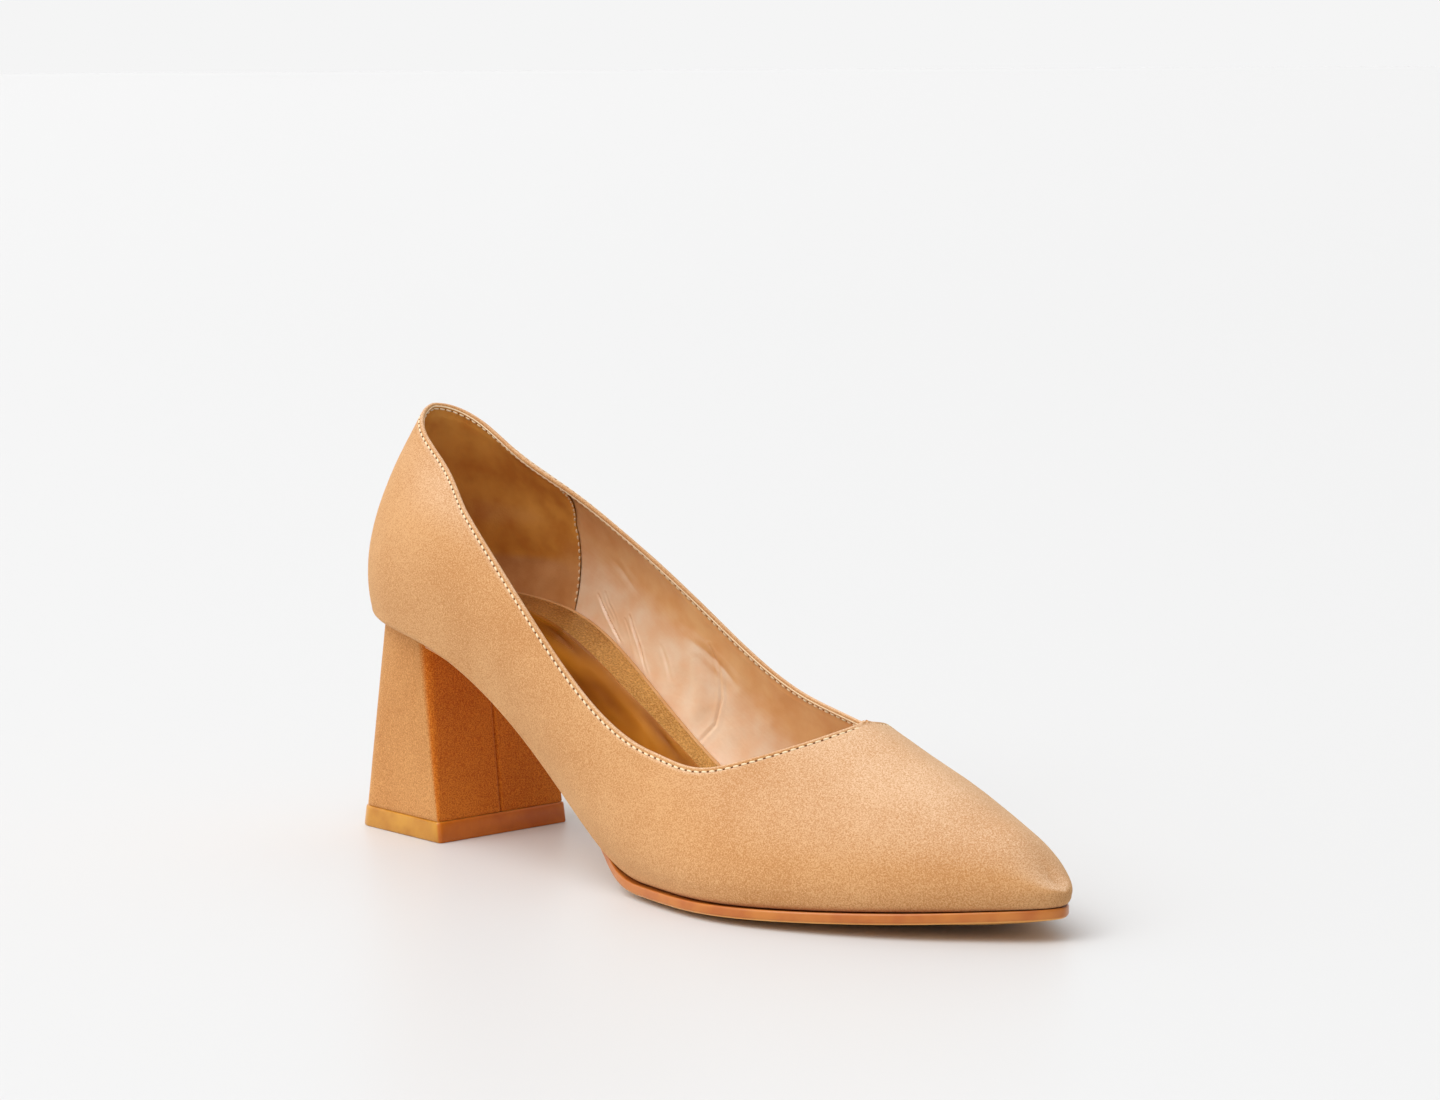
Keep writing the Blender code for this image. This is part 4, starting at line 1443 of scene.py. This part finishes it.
def panel_grid():
    """A thin sheet with a soft edge, proud of the border."""
    start, end = PANEL[0][0], PANEL[-1][0]
    columns = []
    for k in range(PANEL_COLUMNS + 1):
        x = (start + (end - start) * k / PANEL_COLUMNS) * MM
        half = table_at(PANEL, x / MM) * MM
        column = []
        for s in range(PANEL_ROWS + 1):
            share = -1 + 2 * s / PANEL_ROWS
            edge = 1 - abs(share)
            rise = PANEL_RISE * min(1.0, edge * half / PANEL_ROLL) - 0.05 * MM
            column.append(Vector((x, centre_line(x) + share * half, layer(x, SOCK_TOP + rise))))
        columns.append(column)
    return columns


sock_panel = mesh_piece("sock_smooth_panel", [(panel_grid(), False)], SOCK_PANEL)

# %% [markdown]
# ## The outsole
# A thin moulded sheet from the heel's breast to the toe. It shows outside the upper at the forefoot
# as a narrow band with a rounded lower edge, and is tucked under at the waist. Its tread is a little
# thicker in the middle, where the shoe stands. A bevel modifier would round every edge alike, so the
# edge is a profile of its own: a lip against the upper, a flat side and a round below.

# %% Sole edge
SOLE_PROUD = 0.8 * MM
TOE_TUCK = 1.4 * MM
WAIST_INSET = 5.2 * MM
SOLE_ROUND = 0.9 * MM
SOLE_NARROW = 0.41
SOLE_FULL = 0.54
HEEL_BREAST = 42.5 * MM
BREAST_LEAN = 6.5 * MM
BREAST_TOP = HEEL_BREAST - BREAST_LEAN


def sole_back():
    """Where the sole ends, clear of the breast that leans towards it further down."""
    seat = layer(BREAST_TOP, -GAP)
    lean = BREAST_LEAN / seat
    return BREAST_TOP + GAP + lean * (seat - layer(BREAST_TOP, -2 * GAP - SOLE_EDGE - SOLE_CROWN))


def sole_offset(belt):
    share = outline(belt)[0] / LENGTH
    out = blend_step((share - SOLE_NARROW) / (SOLE_FULL - SOLE_NARROW))
    toe = blend_step((share - TOE_START) / (1 - TOE_START))
    return SOLE_PROUD * out - WAIST_INSET * (1 - out) - TOE_TUCK * toe


def sole_profile():
    """(inset, height) from the top edge, over a small lip and the rounded lower edge."""
    rows = [(1.0 * MM, -GAP), (0.45 * MM, -0.04 * MM), (0.1 * MM, -0.2 * MM), (0.0, -0.5 * MM)]
    for angle in (0, 18, 36, 54, 72, 90):
        turn = math.radians(angle)
        rows.append((SOLE_ROUND * (1 - math.cos(turn)),
                     -GAP - SOLE_EDGE + SOLE_ROUND - SOLE_ROUND * math.sin(turn)))
    return rows


def sole_ring(belt, side, inset, height, square):
    x, half = outline(belt, sole_offset(belt) - inset)
    if square:
        x = outline(belt)[0]
    return place(x, max(half, 0.0), side, layer(x, height))


print("sole ends at", round(sole_back() / MM, 1), "mm from the heel's back")

# %% [markdown]
# A moulded sole is one solid sheet. An outline could be extruded, but then top and tread would be
# flat. So the profile is carried round both sides of the outline, and the top and the tread are
# spanned between them. The tread's crown fades out towards the edges.


# %% Sole sheet
def sole_grids(stations=150, across_count=16):
    start = belt_at(sole_back())
    belts = [start + (1 - start) * i / stations for i in range(stations + 1)]
    rows = sole_profile()
    sides = {side: [[sole_ring(belt, side, inset, height, belt == start) for inset, height in rows]
                    for belt in belts] for side in (-1, 1)}
    top, bottom = [], []
    for belt, left, right in zip(belts, sides[-1], sides[1]):
        crown = SOLE_CROWN * blend_step(outline(belt)[1] / (BALL_WIDTH / 4))
        top.append([left[0].lerp(right[0], k / across_count) for k in range(across_count + 1)])
        lowered = []
        for k in range(across_count + 1):
            share = k / across_count
            edge = blend_step(min(share, 1 - share) * 4)
            lowered.append(left[-1].lerp(right[-1], share) - Vector((0, 0, crown * edge)))
        bottom.append(lowered)
    end = [[p.lerp(q, k / across_count) for k in range(across_count + 1)]
           for p, q in zip(sides[-1][0], sides[1][0])]
    end[-1] = bottom[0]
    return [(sides[-1], False), (sides[1], True), (top, False), (bottom, True), (end, False)]


outsole = mesh_piece("outsole_moulded", sole_grids(), SOLE_RESIN, closed=True)
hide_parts("outsole")

# %% [markdown]
# ## The heel
# The block is covered with the same suede, wrapped round from the back and closed by a butt seam
# down the middle of the breast. A scaled cube can't meet the curved seat. So the outlines at the
# floor and at the seat have matching points, and the levels between them are straight blends, as in
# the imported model.

# %% Heel outlines
HEEL_BACK = 3.7 * MM
HEEL_WIDTH = 45 * MM
HEEL_TAPER = 1.5 * MM
HEEL_CORNER = 6 * MM
BREAST_EDGE = 1.2 * MM
BREAST_EDGE_TOP = 3.5 * MM
SEAT_INSET = 3.4 * MM
SEAT_TUCK = 2.0 * MM
TOP_PIECE = 5.6 * MM
TOP_PIECE_PROUD = 0.4 * MM
CORNER_START = 0.35
CORNER_END = 0.60
HEEL_SIDE = 56
BREAST_STEPS = [1.0, 0.85, 0.7, 0.55, 0.4, 0.28, 0.18, 0.1, 0.05, 0.032, 0.018, 0.008]


def corner_arc(x, half, radius, count=8):
    points = []
    for i in range(count + 1):
        angle = math.radians(90 * i / count)
        points.append((x - radius + radius * math.sin(angle), half - radius + radius * math.cos(angle)))
    return points


def heel_outlines():
    """Half outlines from the middle of the back, round the corner, to the middle of the breast."""
    floor, seat = [], []
    last_belt = belt_at(BREAST_TOP - BREAST_EDGE_TOP)
    half_back = HEEL_WIDTH / 2 - HEEL_TAPER
    straight = HEEL_BREAST - BREAST_EDGE - HEEL_BACK - HEEL_CORNER
    for i in range(HEEL_SIDE + 1):
        share = i / HEEL_SIDE
        x, half = outline(last_belt * share, -SEAT_INSET)
        seat.append((x, max(half - SEAT_TUCK * blend_step(x / BREAST_TOP), 0.0)))
        if share < CORNER_START:
            floor.append((HEEL_BACK, (half_back - HEEL_CORNER) * share / CORNER_START))
        elif share < CORNER_END:
            angle = math.radians(90 * (share - CORNER_START) / (CORNER_END - CORNER_START))
            floor.append((HEEL_BACK + HEEL_CORNER * (1 - math.cos(angle)),
                          half_back - HEEL_CORNER * (1 - math.sin(angle))))
        else:
            along = (share - CORNER_END) / (1 - CORNER_END)
            floor.append((HEEL_BACK + HEEL_CORNER + straight * along, half_back + HEEL_TAPER * along))
    seat[0] = (seat[0][0], 0.0)
    floor += corner_arc(HEEL_BREAST, HEEL_WIDTH / 2, BREAST_EDGE)[1:]
    seat += corner_arc(BREAST_TOP, seat[-1][1], BREAST_EDGE_TOP)[1:]
    floor_half, seat_half = floor[-1][1], seat[-1][1]
    for step in BREAST_STEPS[1:] + [0.0]:
        floor.append((HEEL_BREAST, floor_half * step))
        seat.append((BREAST_TOP, seat_half * step))
    return floor, seat


FLOOR_LINE, SEAT_LINE = heel_outlines()
print("points on half an outline:", len(FLOOR_LINE))

# %% [markdown]
# The heel flares from the seat to the floor, and cover and top piece share its outside. Two separate
# models would leave a step between them, so both are made from the same levels. A level is a closed
# ring at one height. It can be drawn in by an inset, for the turned edges, and moved in and out by a
# relief, for the seam.


# %% Levels of the heel
def heel_level(height, inset=0.0, relief=None):
    """Closed ring of the heel at a height, or along the seat where the height is None."""
    level = []
    for (x0, half0), (x1, half1) in zip(FLOOR_LINE, SEAT_LINE):
        top = layer(x1, -GAP)
        share = 1.0 if height is None else height / top
        level.append(Vector((x0 + (x1 - x0) * share, half0 + (half1 - half0) * share,
                             top if height is None else height)))
    ring = level + [Vector((p.x, -p.y, p.z)) for p in level[-2:0:-1]]
    drawn = []
    for i, point in enumerate(ring):
        along = ring[(i + 1) % len(ring)] - ring[i - 1]
        out = Vector((along.y, -along.x, 0)).normalized() * -1
        drawn.append(point - out * inset + (out * relief(point) if relief else Vector()))
    return drawn + [drawn[0]]


print("points round the heel:", len(heel_level(10 * MM)))

# %% [markdown]
# The cover swells very slightly between its edges, and dips into the seam. The cut ends of the suede
# turn in at the joint with the resin plate. The seam could be a dark line in the colour, but a real
# groove darkens by itself and stays right from any side.

# %% Heel cover
COVER_SEAM = 0.8 * MM
SEAM_WIDTH = 0.33 * MM
BREAST_SIDE = 25 * MM        # points further forward than this lie on the breast
COVER_GAP = 0.03 * MM
HIGHEST_LEVEL = 0.97         # share of the height where the last level ring lies, under the seat
CAP_STEPS = 8
TURNED_EDGE = [(0.55, 0.0), (0.18, 0.08), (0.0, 0.45)]      # inset and rise in mm


def cover_relief(point):
    seam = -COVER_SEAM * hump(point.y, 0.0, SEAM_WIDTH) if point.x > BREAST_SIDE else 0.0
    return seam + 0.05 * MM * noise.noise(point / (9 * MM))


def filled(ring):
    """A cap that joins the two halves of a ring, as a grid."""
    half = len(ring) // 2
    return [[ring[i].lerp(ring[-1 - i], k / CAP_STEPS) for k in range(CAP_STEPS + 1)]
            for i in range(half + 1)]


def heel_grids(levels=44):
    bottom = TOP_PIECE + COVER_GAP
    lowest_top = min(layer(x, -GAP) for x, _ in SEAT_LINE)
    rings = []
    for turn_in, rise in TURNED_EDGE:
        rings.append(heel_level(bottom + rise * MM, TOP_PIECE_PROUD + turn_in * MM, cover_relief))
    for i in range(1, levels):
        share = i / levels
        height = bottom + TURNED_EDGE[-1][1] * MM + (lowest_top - bottom) * share * HIGHEST_LEVEL
        rings.append(heel_level(height, TOP_PIECE_PROUD * (1 - share), cover_relief))
    rings.append(heel_level(None, 0.0, cover_relief))
    return [(rings, False), (filled(rings[0]), False), (filled(rings[-1]), True)]


heel_cover = mesh_piece("heel_cover", heel_grids(), HEEL_SUEDE, closed=True)
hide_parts("heel")

# %% [markdown]
# The top piece is the resin plate that the shoe stands on. Its edges are trimmed on a wheel, which
# leaves a fine bevel above and below that shines more than the flat side. It uses the heel's own
# levels, so that plate and cover line up all round.

# %% Top piece
# Height over the floor and inset, in mm
TOP_PIECE_ROWS = [(0.0, 0.45), (0.12, 0.14), (0.5, 0.0), (4.9, 0.0), (5.42, 0.12), (5.6, 0.5)]


def top_piece_grids():
    rings = [heel_level(rise * MM, inset * MM) for rise, inset in TOP_PIECE_ROWS]
    return [(rings, False), (filled(rings[0]), False), (filled(rings[-1]), True)]


top_piece = mesh_piece("top_piece_resin", top_piece_grids(), TIP_RESIN, closed=True)
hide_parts("top_piece")

# %% [markdown]
# ## Floor and light
# A studio sweep is a sheet of paper that curves up behind the object. A floor that runs to the
# horizon looks the same from the front and serves every other side as well. It has a very slight
# gloss, so that the shoe tints it where they meet.

# %% Floor
FLOOR_ALBEDO = 0.675
FLOOR_RADIUS = 40


def add_floor():
    material, _, shader, _ = new_material("matt_white_floor")
    set_shader(shader, {"Base Color": (FLOOR_ALBEDO, FLOOR_ALBEDO, FLOOR_ALBEDO, 1),
                        "Roughness": 0.42, "Specular IOR Level": 0.2})
    work = bmesh.new()
    bmesh.ops.create_circle(work, cap_ends=True, segments=64, radius=FLOOR_RADIUS)
    mesh = bpy.data.meshes.new("floor")
    work.to_mesh(mesh)
    work.free()
    mesh.materials.append(material)
    floor = bpy.data.objects.new("floor", mesh)
    bpy.context.scene.collection.objects.link(floor)
    return floor


floor = add_floor()
print("floor radius:", FLOOR_RADIUS, "m")

# %% [markdown]
# The soft light is a bright sky, strongest above and behind the heel, and two broad lamps. Area
# lamps would have to be moved for each view, so the lamps are suns with a wide angle. The sky grows
# dim towards the toe's side, so that the heel's breast falls into shade as in the photograph. A
# narrow band at the horizon is as bright as the floor, so that no edge shows between them.


# %% Soft light
def add_sun(name, strength, angle, towards, colour):
    lamp = bpy.data.lights.new(name, "SUN")
    lamp.energy = strength
    lamp.angle = math.radians(angle)
    lamp.color = linear(colour)[:3]
    sun = bpy.data.objects.new(name, lamp)
    sun.rotation_euler = Vector(towards).to_track_quat("Z", "Y").to_euler()
    bpy.context.scene.collection.objects.link(sun)
    return sun


def add_world(dim, bright, horizon, towards):
    """Sky whose brightness runs from dim to bright along a direction."""
    world = bpy.data.worlds.new("studio_sky")
    bpy.context.scene.world = world
    world.use_nodes = True
    tree = world.node_tree
    look = add_node(tree, "ShaderNodeTexCoord")
    along = add_node(tree, "ShaderNodeVectorMath",
                     {0: look.outputs["Generated"], 1: Vector(towards).normalized()},
                     operation="DOT_PRODUCT")
    sky = add_node(tree, "ShaderNodeMapRange",
                   {"Value": along.outputs["Value"], "From Min": -0.7, "From Max": 1.0,
                    "To Min": dim, "To Max": bright}, interpolation_type="SMOOTHSTEP")
    height = add_node(tree, "ShaderNodeSeparateXYZ", {"Vector": look.outputs["Generated"]})
    above = add_node(tree, "ShaderNodeMapRange",
                     {"Value": height.outputs["Z"], "From Min": 0.03, "From Max": 0.10})
    both = add_node(tree, "ShaderNodeMix",
                    {"Factor": above.outputs["Result"], "A": horizon, "B": sky.outputs["Result"]},
                    data_type="FLOAT")
    tree.links.new(both.outputs["Result"], tree.nodes["Background"].inputs["Strength"])
    tree.nodes["Background"].inputs["Color"].default_value = (1, 1, 1, 1)


HORIZON = linear("#f5f5f5")[0]
add_world(dim=0.25, bright=1.1, horizon=HORIZON, towards=(-0.75, -0.25, 0.6))
add_sun("top_softbox", strength=1.35, angle=50, towards=(0.0, -0.4, 1.0), colour="#ffffff")
add_sun("front_softbox", strength=0.65, angle=35, towards=(-0.15, -0.95, 0.8), colour="#ffffff")
bpy.context.scene.view_settings.view_transform = "Standard"
